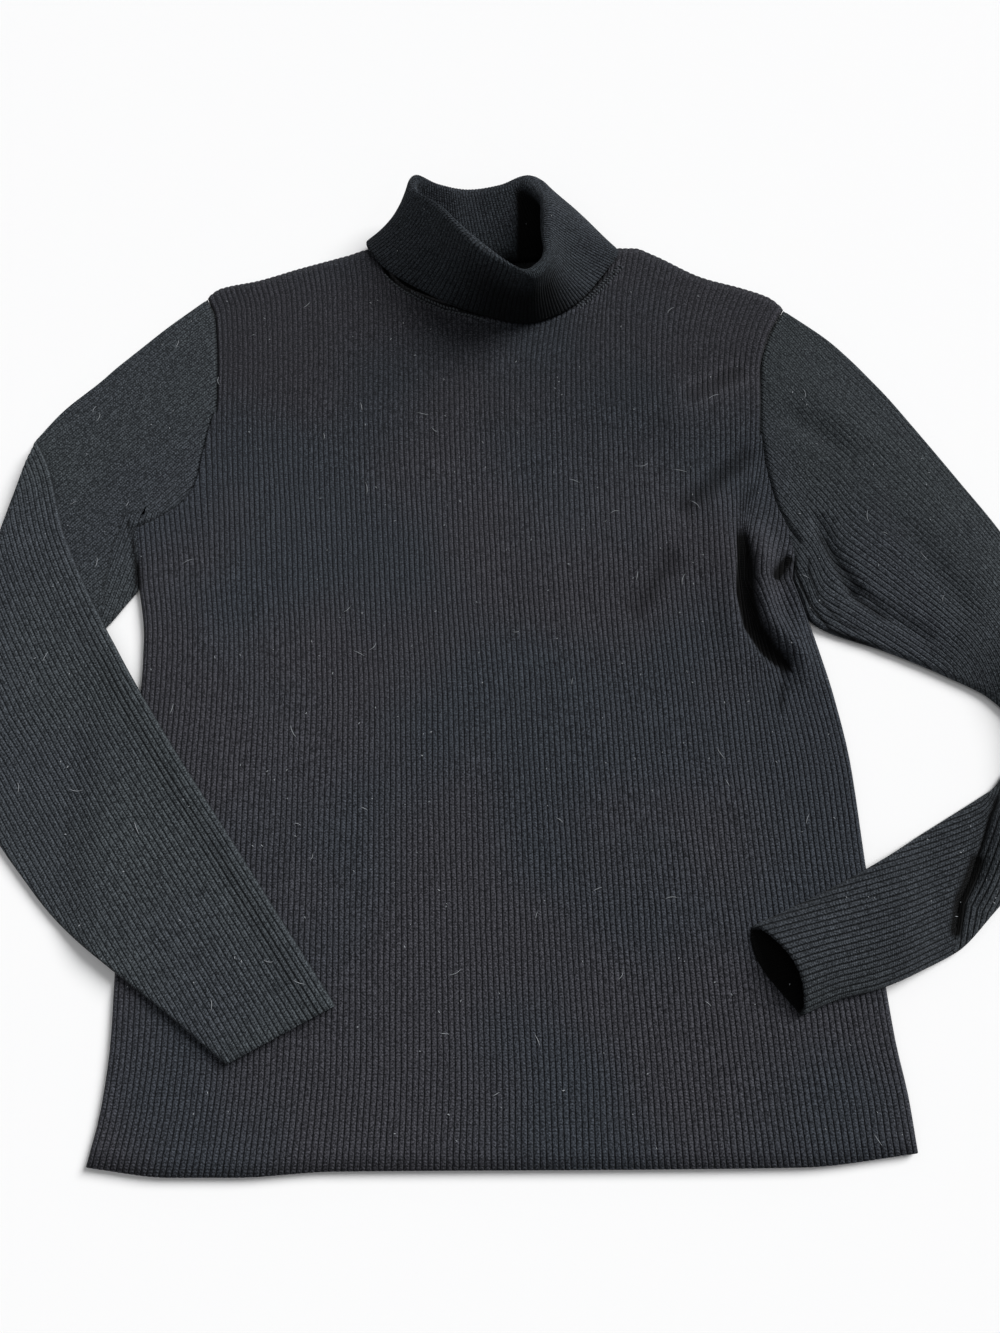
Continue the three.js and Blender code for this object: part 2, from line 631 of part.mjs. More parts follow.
// The origin is under the middle of the whole garment
const box = new THREE.Box3().setFromObject(sweater);
const centre = box.getCenter(new THREE.Vector3());
sweater.position.set(-centre.x, -centre.y, -box.min.z);
sweater.updateMatrixWorld(true);

export default sweater;
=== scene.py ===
"""A black turtleneck in fine rib knit, laid flat on its back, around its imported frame.

Lengths here are millimetres of the garment: x from the picture's centre line, y up from the hem,
z up from the surface. SHIFT takes them into the frame, and MM turns them to metres.
"""
import math

import bpy
import numpy as np
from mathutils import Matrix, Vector
from mathutils.bvhtree import BVHTree


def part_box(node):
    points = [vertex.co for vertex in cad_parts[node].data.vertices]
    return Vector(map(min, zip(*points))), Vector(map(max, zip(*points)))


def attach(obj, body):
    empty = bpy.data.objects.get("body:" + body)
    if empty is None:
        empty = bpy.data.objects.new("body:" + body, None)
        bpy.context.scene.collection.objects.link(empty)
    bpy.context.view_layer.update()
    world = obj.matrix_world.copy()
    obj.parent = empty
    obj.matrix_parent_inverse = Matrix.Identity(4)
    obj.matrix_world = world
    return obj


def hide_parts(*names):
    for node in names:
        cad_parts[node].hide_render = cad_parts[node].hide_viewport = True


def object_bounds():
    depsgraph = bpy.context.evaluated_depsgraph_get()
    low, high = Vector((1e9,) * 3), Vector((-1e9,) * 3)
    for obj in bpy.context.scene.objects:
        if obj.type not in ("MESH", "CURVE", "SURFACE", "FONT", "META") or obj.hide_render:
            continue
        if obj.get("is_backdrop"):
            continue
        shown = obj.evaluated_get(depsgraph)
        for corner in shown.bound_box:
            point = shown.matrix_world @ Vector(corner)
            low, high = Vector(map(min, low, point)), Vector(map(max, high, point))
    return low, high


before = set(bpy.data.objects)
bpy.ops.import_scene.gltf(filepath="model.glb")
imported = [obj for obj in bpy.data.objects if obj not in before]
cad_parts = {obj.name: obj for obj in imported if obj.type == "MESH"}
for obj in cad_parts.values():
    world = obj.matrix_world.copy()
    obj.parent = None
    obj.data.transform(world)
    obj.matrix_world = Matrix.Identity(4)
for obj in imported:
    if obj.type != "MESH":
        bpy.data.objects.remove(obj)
CAD_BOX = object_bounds()

MM = 0.001

# Cloth
WALL = 1.9
SEAM_GAP = 0.3
LAYER = WALL + SEAM_GAP
STACK = 2 * WALL + SEAM_GAP
MID = STACK / 2
EDGE_ROUND = 3
EDGE_LIP = 0.6
RIB_RISE = 0.6
SEAM_SINK = 1.3
SEAM_HALF = 1.5
# How dark a seam's sunk groove is painted, as the shade in it
SEAM_DARK = 0.55

# Ribs across each piece, points across each rib, and how wide a rib is on the sleeves
BODY_RIBS = 134
COLLAR_RIBS = 150
RIB_POINTS = 5
COLLAR_POINTS = 6
RIB_WIDE = 3.3
LEFT_RIB = 16
RIGHT_RIB = 123
SPLIT = 340


def table(names, *rows):
    """A short table as one array for each named column."""
    return dict(zip(names.split(), np.array(rows, float).T))


SIDES = table(
    "y left right",
    (0, -224, 227), (30, -219, 225), (60, -217.5, 221), (100, -219, 218), (160, -221, 214),
    (220, -221.5, 211), (262, -220.5, 205), (300, -222, 196.5), (340, -229.5, 186),
)
# The lines that the first and the last rib would follow if nothing were folded or cut
RIB_LINES = table(
    "y left right",
    (0, -224, 227), (60, -219, 221), (150, -219.5, 214.5), (250, -220.5, 208), (340, -228, 204),
    (450, -243, 209), (590, -256, 219),
)
HEM = table("rib y", (0, 1), (14, -4), (24, -4), (40, -1), (90, 0), (115, 1), (134, 8))
CHEST = table(
    "rib x y",
    (0, -235, 374), (2, -229, 377), (7, -214, 386), (10.3, -204, 395), (12.5, -198, 408),
    (13.8, -195, 431), (16, -189, 460), (123, 172, 442), (125.8, 175, 414), (128.1, 178.5, 394),
    (131, 184, 378), (134, 190, 364),
)
LEFT_SHOULDER = [(16, -202, 547), (18.5, -193, 554), (26, -167, 560.5), (33.5, -140, 570),
                 (43, -106, 581), (47, -91, 586)]
RIGHT_SHOULDER = [(94, 82, 587), (97, 94, 587), (100, 106, 582), (109, 140, 563),
                  (116, 168, 554), (120.5, 185, 547), (123, 195, 538)]
FRONT_NECK = [(51, -77, 563), (55.5, -60, 551), (60, -44, 544), (65.5, -24, 537), (73, 5, 532),
              (79.5, 30, 533), (84.5, 48, 540), (88.5, 62, 552), (92, 75, 570)]
BACK_NECK = [(58, -50, 581), (70, -4, 578), (82, 40, 580.5)]
FRONT_TOP = table("rib x y", *LEFT_SHOULDER, *FRONT_NECK, *RIGHT_SHOULDER)
BACK_TOP = table("rib x y", *LEFT_SHOULDER, *BACK_NECK, *RIGHT_SHOULDER)
ARMHOLE_BOW = table("height left right", (0, 0, 0), (0.35, 3.2, -5.1), (0.62, 4.4, -7.9),
                    (0.8, 4.6, -6), (1, 0, 0))

# Sleeves: a is one long edge and b the other
LEFT_ARM = [(0.2, -228, 524, -236.4, 362), (0.36, -243, 509, -229.9, 340),
            (0.46, -253, 499, -229.3, 333.5), (0.51, -258.5, 493.5, -236, 323),
            (0.6, -268, 483, -246, 309), (0.82, -291, 460, -292, 262),
            (1, -306, 439, -337, 234)]
LEFT_FOREARM = table(
    "along ax ay bx by",
    (0, -306, 439, -337, 234), (0.1, -292, 412, -330, 212), (0.22, -280, 374, -309, 190),
    (0.36, -256, 326, -282, 158), (0.5, -228, 279, -256, 130), (0.64, -196, 231, -225, 107),
    (0.8, -152, 169, -191, 83), (1, -92, 84, -151, 53),
)
# count is how many ribs lie between a and b
RIGHT_ARM_NAMES = "along ax ay bx by puff count"
RIGHT_ARM = [
    (0.07, 224, 514, 187.7, 350, 3, 38.5), (0.11, 237.5, 499, 186.5, 339, 4.6, 39.5),
    (0.14, 247, 487, 189.1, 329, 6, 40), (0.18, 259, 471, 193.2, 314, 7, 40),
    (0.22, 271, 453, 203, 306, 8, 40), (0.32, 298, 411, 238, 293, 9, 38),
    (0.42, 325, 367, 276, 276, 10, 35), (0.5, 347, 318, 301, 262, 13, 28),
    (0.57, 356, 268, 313, 245, 16, 24), (0.64, 349, 216, 311, 228, 16, 22),
    (0.7, 322, 173, 302, 215, 14, 22), (0.75, 285, 134, 295, 207, 11, 25),
    (0.785, 262, 113, 287, 202, 5, 27), (0.83, 240, 103, 258, 185, 5, 25),
    (0.9, 211, 92, 214, 160, 6, 21), (0.95, 190, 87, 180, 143, 9, 18.5),
    (1, 168.5, 78.5, 145, 127.5, 12, 16.5),
]

# Collar, round from the front centre to the right, the back and the left: foot, fold and hem
COLLAR_ROUND = table(
    "fx fy tx ty tz hx hy hz",
    (5, 534, 15, 533, 50, 12, 526, 6.6), (32, 536.5, 26, 540, 48, 37, 531, 6.6),
    (56, 550, 30, 553, 44, 58, 547.5, 6.6), (71, 569, 29, 570, 41, 74, 568, 6.6),
    (73, 581, 29, 588, 38, 82, 583, 5.8), (60, 582, 28, 608, 34, 70, 595, 2.6),
    (38, 579.5, 18, 624, 30, 50, 593, 1.4), (12, 577, 0, 620, 26, 20, 586, 1.4),
    (-15, 577, -22, 618, 24, -12, 584, 1.4), (-40, 579, -43, 619, 28, -45, 586, 1.4),
    (-62, 582, -57, 621, 34, -74, 596, 2.2), (-78, 577, -56, 603, 40, -93, 591, 5.8),
    (-70, 561, -40, 588, 44, -81, 570, 6.6), (-49, 549, -26, 570, 47, -54, 551, 6.6),
    (-21, 539, -8, 550, 49, -22, 535.5, 6.6),
)
COLLAR_ROWS = len(COLLAR_ROUND["fx"])
# The foot's height, all round
COLLAR_ROUND["fz"] = np.full(COLLAR_ROWS, 3.2)
# Radius of the turn at the fold
ROLL = 3
# At the back right the turn is rounder: as rows of the table, where, how far and by how much
ROUNDER_AT = 5.2
ROUNDER_SPAN = 1.5
ROUNDER = 3.5

# Soft ridges (high above 0) and troughs (below 0), each along one straight line
FRONT_FOLDS = [
    # x1, y1, x2, y2, wide, high
    (190, 350, 184, 292, 8, 4),
    (141, 390, 146, 290, 12, 2.2),
    (174, 425, 118, 389, 10, -1.3),
    (120, 452, 168, 462, 20, 2.6),
    (107, 346, 62, 318, 14, -1.2),
    (110, 372, 30, 345, 26, 1.6),
    (174, 495, 135, 480, 12, -1.3),
    (-60, 470, 90, 480, 46, 2.0),
    (-190, 300, -120, 120, 40, 1.5),
    (40, 240, 150, 90, 44, 1.6),
]
SLEEVE_FOLDS = [
    (195, 452, 219, 432, 9, -2.2),
    (214, 470, 236, 440, 14, 1.5),
    (203, 378, 222, 330, 5, -2.4),
    (222, 329, 262, 300, 5, -1.6),
    (258, 372, 286, 318, 10, -1.6),
]
# Narrow troughs along paths: half their width, how far they sink and how dark they are painted, as the
# shade in the trough
FRONT_CREASES = [
    ([(173, 337), (176, 343), (181, 350), (186, 355)], 4.0, 1.6, 1.3),
    ([(182, 358), (180, 352), (184, 344), (187, 332), (193, 314), (196, 304)], 1.0, 0.4, 0.9),
    ([(153, 384), (160, 396), (168, 404)], 3.2, 0.6, 0.35),
    ([(112, 382), (128, 397), (143, 411), (160, 426), (170, 434)], 7, 1.2, 0.5),
    ([(118, 465), (135, 474), (155, 486), (170, 494)], 8, 1.2, 0.4),
    ([(80, 312), (92, 328), (104, 346), (114, 362)], 7, 1.0, 0.36),
    ([(-80, 568), (-75.5, 561.2), (-66, 553), (-52, 544), (-38, 537.5), (-21, 533.6), (-6, 529)],
     2.2, 0.2, 0.7),
    ([(54, 538), (64, 548), (73, 558), (80, 567), (86, 574)], 2.2, 0.2, 0.6),
    ([(178, 284), (173, 268), (171, 250)], 2.2, 0.5, 0.5),
    ([(-240, 384), (-235, 368), (-229.5, 342), (-227, 330)], 2.2, 0.3, 1.0),
]
SLEEVE_CREASES = [
    ([(190, 362), (187, 350), (190, 335), (196, 320), (206, 306), (220, 300), (240, 293)],
     1.0, 0.7, 0.95),
    ([(197, 360), (195, 344), (200, 326), (212, 311), (232, 301)], 0.8, 0.5, 0.7),
    ([(201, 376), (208, 358), (216, 338), (226, 323), (246, 308)], 2.6, 0.8, 0.6),
    ([(206, 368), (214, 350), (224, 334), (240, 318)], 1.4, 0.6, 0.55),
    ([(300, 210), (293, 198), (288, 189), (281, 173), (272, 154), (264, 141), (260, 123)], 1.4, 1.0, 1.0),
    ([(280, 171), (272, 154), (265, 142), (261, 126), (260, 117)], 4.2, 1.4, 1.5),
    ([(-243, 386), (-238, 376), (-232, 352), (-230, 336), (-233, 328)], 1.3, 0.5, 0.95),
    ([(-244, 382), (-248, 362), (-250, 344), (-250, 326)], 0.7, 0.5, 0.4),
]

FRONT_LOW, FRONT_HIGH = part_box("front")
SHIFT = np.array([FRONT_LOW.x / MM - CHEST["x"][0], FRONT_HIGH.y / MM - FRONT_TOP["y"].max(), 0.0])


def cubic(t, a, b, slope_a, slope_b):
    """From a to b as t goes from 0 to 1, with these slopes at its ends."""
    low = (1 + 2 * t) * (1 - t) ** 2 * a + t * (1 - t) ** 2 * slope_a
    return low + t * t * (3 - 2 * t) * b + t * t * (t - 1) * slope_b


def smooth(keys, values):
    """A function of x: cubic pieces through the points, their slopes the harmonic means of the
    rises on each side, so that it never overshoots."""
    keys = np.asarray(keys, float)
    values = np.asarray(values, float)
    rise = np.diff(values) / np.diff(keys)
    before = np.r_[rise[:1], rise]
    after = np.r_[rise, rise[-1:]]
    same = before * after > 0
    slope = np.where(same, 2 * before * after / np.where(same, before + after, 1), 0)

    def at(x):
        x = np.clip(x, keys[0], keys[-1])
        k = np.clip(np.searchsorted(keys, x, side="right") - 1, 0, len(keys) - 2)
        span = keys[k + 1] - keys[k]
        return cubic((x - keys[k]) / span, values[k], values[k + 1], span * slope[k], span * slope[k + 1])

    return at


def by_first(rows):
    """A smooth function of a table's first column for each of the others."""
    keys, *others = rows.values()
    return [smooth(keys, values) for values in others]


def ease(t):
    """0 to 1 with level ends."""
    t = np.clip(t, 0, 1)
    return t * t * (3 - 2 * t)


def fade(value, start, span):
    """0 up to a start, rising to 1 over a span."""
    return ease((value - start) / span)


def rounding(off, radius):
    """A quarter-round rise from an edge: 0 on it, 1 from radius inwards."""
    return np.sqrt(1 - (1 - np.clip(off / radius, 0, 1)) ** 2)


def lerp(a, b, t):
    return a + (b - a) * t


def rib_profile(rib):
    """A round rib between narrow valleys: the 0.8th power of |sin(pi * rib)|, valleys at whole ribs."""
    return np.abs(np.sin(np.pi * rib)) ** 0.8


def in_scene(name, data):
    """A new object with this mesh, light or camera, in the scene."""
    made = bpy.data.objects.new(name, data)
    bpy.context.scene.collection.objects.link(made)
    return made


class Cloth:
    """Gathers the points, knit coordinates and faces of one closed piece of cloth."""

    def __init__(self):
        self.points, self.knit, self.painted_shade = [], [], []
        self.faces, self.corners = [], []
        self.count = 0

    def add(self, xyz, knit, painted_shade):
        """Points with their place in the knit (ribs across, mm along) and their painted shade: how dark
        they are painted as the shade in a fold, crease, seam, rib valley or inside; below 0 it is how
        flat the ribs are stretched."""
        xyz = np.asarray(xyz, float).reshape(-1, 3)
        self.points.append(xyz)
        self.knit.append(knit.reshape(-1, 2))
        self.painted_shade.append(np.broadcast_to(np.ravel(painted_shade), len(xyz)))
        first = self.count
        self.count += len(xyz)
        return np.arange(first, self.count)

    def quads(self, index, knit):
        """Faces of a grid of point numbers, with the knit coordinates of their corners."""
        for store, grid in ((self.faces, index), (self.corners, knit)):
            around = [grid[:-1, :-1], grid[:-1, 1:], grid[1:, 1:], grid[1:, :-1]]
            store.append(np.stack(around, 2).reshape(-1, 4, *grid.shape[2:]))

    def grid(self, xyz, knit, painted_shade=0.0, wrap=False):
        """Points and faces of a grid. A wrapped one has a column more of knit than of points."""
        rows, columns = xyz.shape[:2]
        index = self.add(xyz, knit[:, :columns], painted_shade).reshape(rows, columns)
        around = np.c_[index, index[:, :1]] if wrap else index
        self.quads(around, knit)
        return index

    def turn_last(self, count=1):
        """Turns the last sets of faces the other way round."""
        self.faces[-count:] = [f[:, ::-1] for f in self.faces[-count:]]
        self.corners[-count:] = [c[:, ::-1] for c in self.corners[-count:]]

    def zip(self, a, at_a, b, at_b):
        """Triangles between two rows of points that differ in number: each row's step is joined to
        the other row's point that lies level with the step's middle."""
        mid_a, mid_b = (at_a[1:] + at_a[:-1]) / 2, (at_b[1:] + at_b[:-1]) / 2
        from_a = np.stack([a[:-1], a[1:], b[np.searchsorted(mid_b, mid_a)]], 1)
        from_b = np.stack([b[1:], b[:-1], a[np.searchsorted(mid_a, mid_b, side="right")]], 1)
        triangles = np.concatenate([from_a, from_b])
        self.faces.append(triangles)
        self.corners.append(np.concatenate(self.knit)[triangles])

    def close(self, skin, at_skin, lining, at_lining):
        """Turns the lining, the last grid, to face inwards, and joins it to the skin round both ends
        of the tube. Each is given with the way round of its points."""
        self.turn_last()
        for end in (0, -1):
            ring, ring_in = (np.r_[grid[end], grid[end, 0]] for grid in (skin, lining))
            self.zip(ring_in, at_lining, ring, at_skin)
        self.turn_last()

    def make(self, name, material):
        """The piece as one mesh whose faces point outwards, by the sign of its volume."""
        points = (np.concatenate(self.points) + SHIFT) * MM
        sizes = np.concatenate([np.full(len(f), f.shape[1]) for f in self.faces])
        volume = 0.0
        for f in self.faces:
            for k in range(1, f.shape[1] - 1):
                a, b, c = points[f[:, 0]], points[f[:, k]], points[f[:, k + 1]]
                volume += np.einsum("ij,ij->", a, np.cross(b, c))
        turn = -1 if volume < 0 else 1
        loops = np.concatenate([f[:, ::turn].ravel() for f in self.faces])
        corners = np.concatenate([c[:, ::turn].reshape(-1, 2) for c in self.corners])
        mesh = bpy.data.meshes.new(name)
        mesh.vertices.add(len(points))
        mesh.vertices.foreach_set("co", points.astype(np.float32).ravel())
        mesh.loops.add(len(loops))
        mesh.loops.foreach_set("vertex_index", loops.astype(np.int32))
        mesh.polygons.add(len(sizes))
        starts = np.r_[0, np.cumsum(sizes)[:-1]]
        mesh.polygons.foreach_set("loop_start", starts.astype(np.int32))
        mesh.update(calc_edges=True)
        layer = mesh.uv_layers.new(name="knit")
        layer.data.foreach_set("uv", corners.astype(np.float32).ravel())
        painted_shade = mesh.attributes.new("painted_shade", "FLOAT", "POINT")
        painted_shade.data.foreach_set("value", np.concatenate(self.painted_shade).astype(np.float32))
        mesh.shade_smooth()
        mesh.validate()
        mesh.materials.append(material)
        return in_scene(name, mesh)


left_side, right_side = by_first(SIDES)
line_left, line_right = by_first(RIB_LINES)
hem_line, = by_first(HEM)
chest_x, chest_y = by_first(CHEST)
bow_left, bow_right = by_first(ARMHOLE_BOW)


def chest(rib):
    """Where each rib ends at the armhole, and straight across between the armholes."""
    t = np.clip((rib - LEFT_RIB) / (RIGHT_RIB - LEFT_RIB), 0, 1)
    inner = (rib > LEFT_RIB) & (rib < RIGHT_RIB)
    x = np.where(inner, lerp(chest_x(LEFT_RIB), chest_x(RIGHT_RIB), t), chest_x(rib))
    y = np.where(inner, lerp(chest_y(LEFT_RIB), chest_y(RIGHT_RIB), t), chest_y(rib))
    return x, y


# In every such pair: where something starts, and over how much it rises to its full measure.
# Here the deep fold takes the cloth in, by the way across the front
TAKEN_IN = (0.872, 0.065)
# How far the ribs waver, and the share of the width beside each edge over which that fades
WAVER = 0.3
WAVER_FADE = 0.05


def reference(s, y):
    """Ribs run between the two rib lines, evenly spaced."""
    return lerp(line_left(y), line_right(y), s)


def pull(s, y):
    """How far the sides draw the ribs off those lines: near the left edge only, and on the right
    all at once where the deep fold takes the cloth in."""
    left = (left_side(y) - line_left(y)) * (1 - s) ** 8
    return left + (right_side(y) - line_right(y)) * fade(s, *TAKEN_IN)


def body_plan(top):
    """Plan of a body panel by rib and level: level 0 is the hem, 1 the split, 2 the chest line and
    3 the shoulders and neck. The armholes bow in, and each rib wavers a little."""
    top_x, top_y = by_first(top)

    def plan(rib, level):
        s = rib / BODY_RIBS
        low = np.clip(level, 0, 1)
        y0 = SPLIT * low
        x0 = reference(s, y0) + pull(s, y0)
        y0 = y0 + hem_line(rib) * (1 - low) ** 3
        x2, y2 = chest(rib)
        middle = np.clip(level - 1, 0, 1)
        height = np.clip(level - 2, 0, 1)
        y1 = lerp(SPLIT, y2, middle)
        x1 = reference(s, y1) + lerp(pull(s, SPLIT), x2 - reference(s, y2), ease(middle))
        across = np.clip((rib - LEFT_RIB) / (RIGHT_RIB - LEFT_RIB), 0, 1)
        bow = bow_left(height) * (1 - across) ** 3 + bow_right(height) * across ** 3
        x3, y3 = top_x(rib), top_y(rib)
        yt = lerp(y2, y3, height)
        fan = height ** (1 + 2 * across * (1 - across))
        xt = reference(s, yt) + lerp(x2 - reference(s, y2), x3 - reference(s, y3), fan) + bow
        x = np.where(level <= 1, x0, np.where(level <= 2, x1, xt))
        y = np.where(level <= 1, y0, np.where(level <= 2, y1, yt))
        inside = np.clip(np.minimum(s, 1 - s) / WAVER_FADE, 0, 1) * (level < 3)
        inside = inside * np.where(level > 2, 16 * (across * (1 - across)) ** 2, 1)
        waver = WAVER * np.sin(y / 21 + rib * 0.41) * np.sin(y / 57 + rib * 0.13)
        return x + waver * inside, y

    return plan


def from_path(x, y, path):
    """Signed distance from a path of straight stretches (positive to the right of its way), and how
    far along it the nearest point lies, from 0 to 1."""
    path = np.asarray(path, float)
    ends = np.r_[0, np.cumsum(np.hypot(*np.diff(path, axis=0).T))]
    best = np.full(np.shape(x), 1e9)
    side = np.zeros(np.shape(x))
    along = np.zeros(np.shape(x))
    for (x1, y1), (x2, y2), start, end in zip(path[:-1], path[1:], ends[:-1], ends[1:]):
        dx, dy = x2 - x1, y2 - y1
        t = np.clip(((x - x1) * dx + (y - y1) * dy) / (dx * dx + dy * dy), 0, 1)
        off = np.hypot(x - x1 - t * dx, y - y1 - t * dy)
        near = off < best
        best = np.where(near, off, best)
        side = np.where(near, np.sign((y2 - y1) * (x - x1) - (x2 - x1) * (y - y1)), side)
        along = np.where(near, lerp(start, end, t) / ends[-1], along)
    return best * np.where(side == 0, 1, side), along


def line_fold(x, y, x1, y1, x2, y2, wide, high):
    """A soft ridge or trough: high * exp(-(distance from the line / wide) ** 2)."""
    return high * np.exp(-((from_path(x, y, [(x1, y1), (x2, y2)])[0] / wide) ** 2))


# The share of a crease's length over which it fades at each end
CREASE_FADE = 0.15


def crease(x, y, path, half, sink, dark):
    """A narrow trough along a path, as how far it sinks and how dark it is painted as the shade in it, both
    fading at its ends.
    """
    off, along = from_path(x, y, path)
    shape = np.exp(-((off / half) ** 2)) * ease(along / CREASE_FADE) * ease((1 - along) / CREASE_FADE)
    return sink * shape, dark * shape


# How much of the ribs' contrast is lost where they are stretched flat
LEFT_FLAT = 0.35
RIGHT_FLAT = 0.6
SHOULDER_FLAT = 0.6
# The front's ribs are stretched more and more with height
FLAT_UP = (370, 130)
# A crease that is darker than this isn't stretched
FLAT_LIMIT = 0.2


def stretched(painted_shade, flat):
    """The painted shade, lowered by how flat the ribs are stretched, where they lie in no crease."""
    return painted_shade - flat * (1 - ease(painted_shade / FLAT_LIMIT))


def relief(x, y, folds, creases):
    """Height that folds and creases add, and how dark each point is painted as the shade in a crease."""
    height = sum(line_fold(x, y, *row) for row in folds)
    painted_shade = np.zeros(np.shape(height))
    for row in creases:
        sink, dark = crease(x, y, *row)
        height = height - sink
        painted_shade = np.maximum(painted_shade, dark)
    return height, painted_shade


# The deep fold that runs down from the right underarm, from its top end
DEEP_FOLD = [(153, 386), (155, 366), (155.5, 351), (154, 330), (157, 309), (166, 293), (176, 282),
             (173, 264)]
DEEP_HALF = 5.2
# Its lips: how high, how far beyond the groove's edge, and how wide both are
DEEP_LEFT_LIP = (1.6, 3)
DEEP_RIGHT_LIP = (8.0, 6)
DEEP_LIP_WIDE = 8
DEEP_FLOOR = 1.3
DEEP_FADE = 0.3


def deep_fold(x, y):
    """Height and painted shade of the deep fold: its groove is painted dark, as the shade in it. Across
    it the cloth rises to a low lip on the left and a full one on the right and drops steeply between
    them, fading at the fold's ends."""
    right_of, along = from_path(x, y, DEEP_FOLD)
    off = -right_of
    start, end = ease(along / DEEP_FADE), ease((1 - along) / DEEP_FADE)
    ends = start * end
    half = DEEP_HALF * (0.55 + 0.45 * ease(along / 0.4)) * (0.4 + 0.6 * end)
    (left_high, left_off), (right_high, right_off) = DEEP_LEFT_LIP, DEEP_RIGHT_LIP
    left = left_high * np.exp(-((off + DEEP_HALF + left_off) / DEEP_LIP_WIDE) ** 2)
    right = right_high * np.exp(-((off - DEEP_HALF - right_off) / DEEP_LIP_WIDE) ** 2)
    groove = 1 / (1 + (off / half) ** 10)
    dark = ease(1.5 * ease(ends * 1.4) * groove)
    return ends * ((left + right) * (1 - groove) - DEEP_FLOOR * groove), dark


def front_relief(x, y, side):
    """The front's folds and creases with the deep fold, level at the side edges, with their painted shade.
    """
    height, painted_shade = relief(x, y, FRONT_FOLDS, FRONT_CREASES)
    lift, groove = deep_fold(x, y)
    painted_shade = np.maximum(painted_shade, groove)
    return (height * (1 - groove) + lift) * ease(side / EDGE_ROUND), painted_shade


# The garment's inside, painted dark as the shade inside it: how dark, and how far in from the side edges
# and the hem
INSIDE_PAINTED_SHADE = 0.92
INSIDE_SIDE = 9
INSIDE_HEM = (6, 12)


def back_relief(x, y, side):
    """The back lies flat; its upper side is the garment's inside, painted dark as the shade inside the
    garment, save at its outer edges.
    """
    return np.zeros_like(x), INSIDE_PAINTED_SHADE * ease(side / INSIDE_SIDE) * fade(y, *INSIDE_HEM)


# The neckline, which the collar covers and where the cloth is painted dark as the shade under it: its
# levels and its ribs
NECK_LEVEL = (2.94, 0.04)
NECK_RIBS = (49, 93)
# Lining points are this many ribs apart
LINING_STEP = 2
# Stands for any distance that is far from an edge or seam
FAR = 99


def panel(name, plan, shape, lows, highs, rib_points, low_z, ribbed, material):
    """A body panel: an upper surface with ribs and folds and a plain lower one over the same plan,
    joined by a rim. Below the chest line the grid has every rib, above it those between the
    armholes, and both share the chest line's points."""
    cloth = Cloth()
    loops = []
    for upper in (True, False):
        step = 1 / rib_points if upper else LINING_STEP
        ribs = np.linspace(0, BODY_RIBS, 1 + round(BODY_RIBS / step))
        if not upper:
            ribs = np.unique(np.r_[ribs, LEFT_RIB, RIGHT_RIB])
        inner = (ribs >= LEFT_RIB) & (ribs <= RIGHT_RIB)

        def surface(columns, levels):
            rib, level = np.meshgrid(columns, levels)
            x, y = plan(rib, level)
            side = np.minimum(x - plan(0 * rib, level)[0], plan(0 * rib + BODY_RIBS, level)[0] - x)
            side = np.where(level < 2, side, FAR)
            lift, painted_shade = shape(x, y, side)
            neck = fade(level, *NECK_LEVEL) * (rib > NECK_RIBS[0]) * (rib < NECK_RIBS[1])
            if upper:
                z = low_z + lerp(EDGE_LIP, WALL, rounding(side, EDGE_ROUND)) + lift
                if ribbed:
                    z = z + RIB_RISE * rib_profile(rib) * np.clip(side / EDGE_ROUND, 0, 1)
                seam = np.where(level >= 2, np.minimum(rib - LEFT_RIB, RIGHT_RIB - rib) * RIB_WIDE, FAR)
                near = np.exp(-((seam / SEAM_HALF) ** 2))
                z = z - SEAM_SINK * near
                if ribbed:
                    # Painted shade in creases, along the seam and under the collar
                    painted_shade = np.maximum(np.maximum(painted_shade, SEAM_DARK * near), neck)
                    painted_shade = stretched(painted_shade, SHOULDER_FLAT * fade(y, *FLAT_UP))
            elif low_z > 0:
                z = low_z + lift
                # The front's underside, the garment's inside, is painted dark as shade
                painted_shade = INSIDE_PAINTED_SHADE + 0 * z
            else:
                z = (WALL - EDGE_LIP) * (1 - rounding(side, EDGE_ROUND))
                painted_shade = neck + 0 * z
            return np.stack([x, y, z], 2), np.stack([rib, y], 2), painted_shade

        low = cloth.grid(*surface(ribs, lows))
        xyz, knit, painted_shade = surface(ribs[inner], highs)
        rest = cloth.add(xyz[1:], knit[1:], painted_shade[1:]).reshape(len(highs) - 1, -1)
        high = np.concatenate([low[-1:, inner], rest])
        cloth.quads(high, knit)
        right, left = ribs > RIGHT_RIB, ribs < LEFT_RIB
        loop = [
            (low[0], ribs / BODY_RIBS),
            (low[1:-1, -1], 1 + lows[1:-1] / 2),
            (low[-1, right][::-1], 2 + (BODY_RIBS - ribs[right][::-1]) / (BODY_RIBS - RIGHT_RIB)),
            (high[:-1, -1], 1 + highs[:-1]),
            (high[-1, ::-1], 4 + (RIGHT_RIB - ribs[inner][::-1]) / (RIGHT_RIB - LEFT_RIB)),
            (high[:-1, 0][::-1], 8 - highs[:-1][::-1]),
            (low[-1, left][::-1], 6 + (LEFT_RIB - ribs[left][::-1]) / LEFT_RIB),
            (low[1:-1, 0][::-1], 8 - lows[1:-1][::-1] / 2),
            (low[0, :1], np.array([8.0])),
        ]
        loops.append([np.concatenate(part) for part in zip(*loop)])
        if not upper:
            cloth.turn_last(2)
    (outer, at_outer), (lining, at_lining) = loops
    cloth.zip(lining, at_lining, outer, at_outer)
    return cloth.make(name, material)


# How far a sleeve keeps off the body's edge, and how much more under the arm
SEAM_OFF = 1.3 * SEAM_GAP
UNDERARM_CLEAR = 1.4
UNDERARM_FROM = 0.93


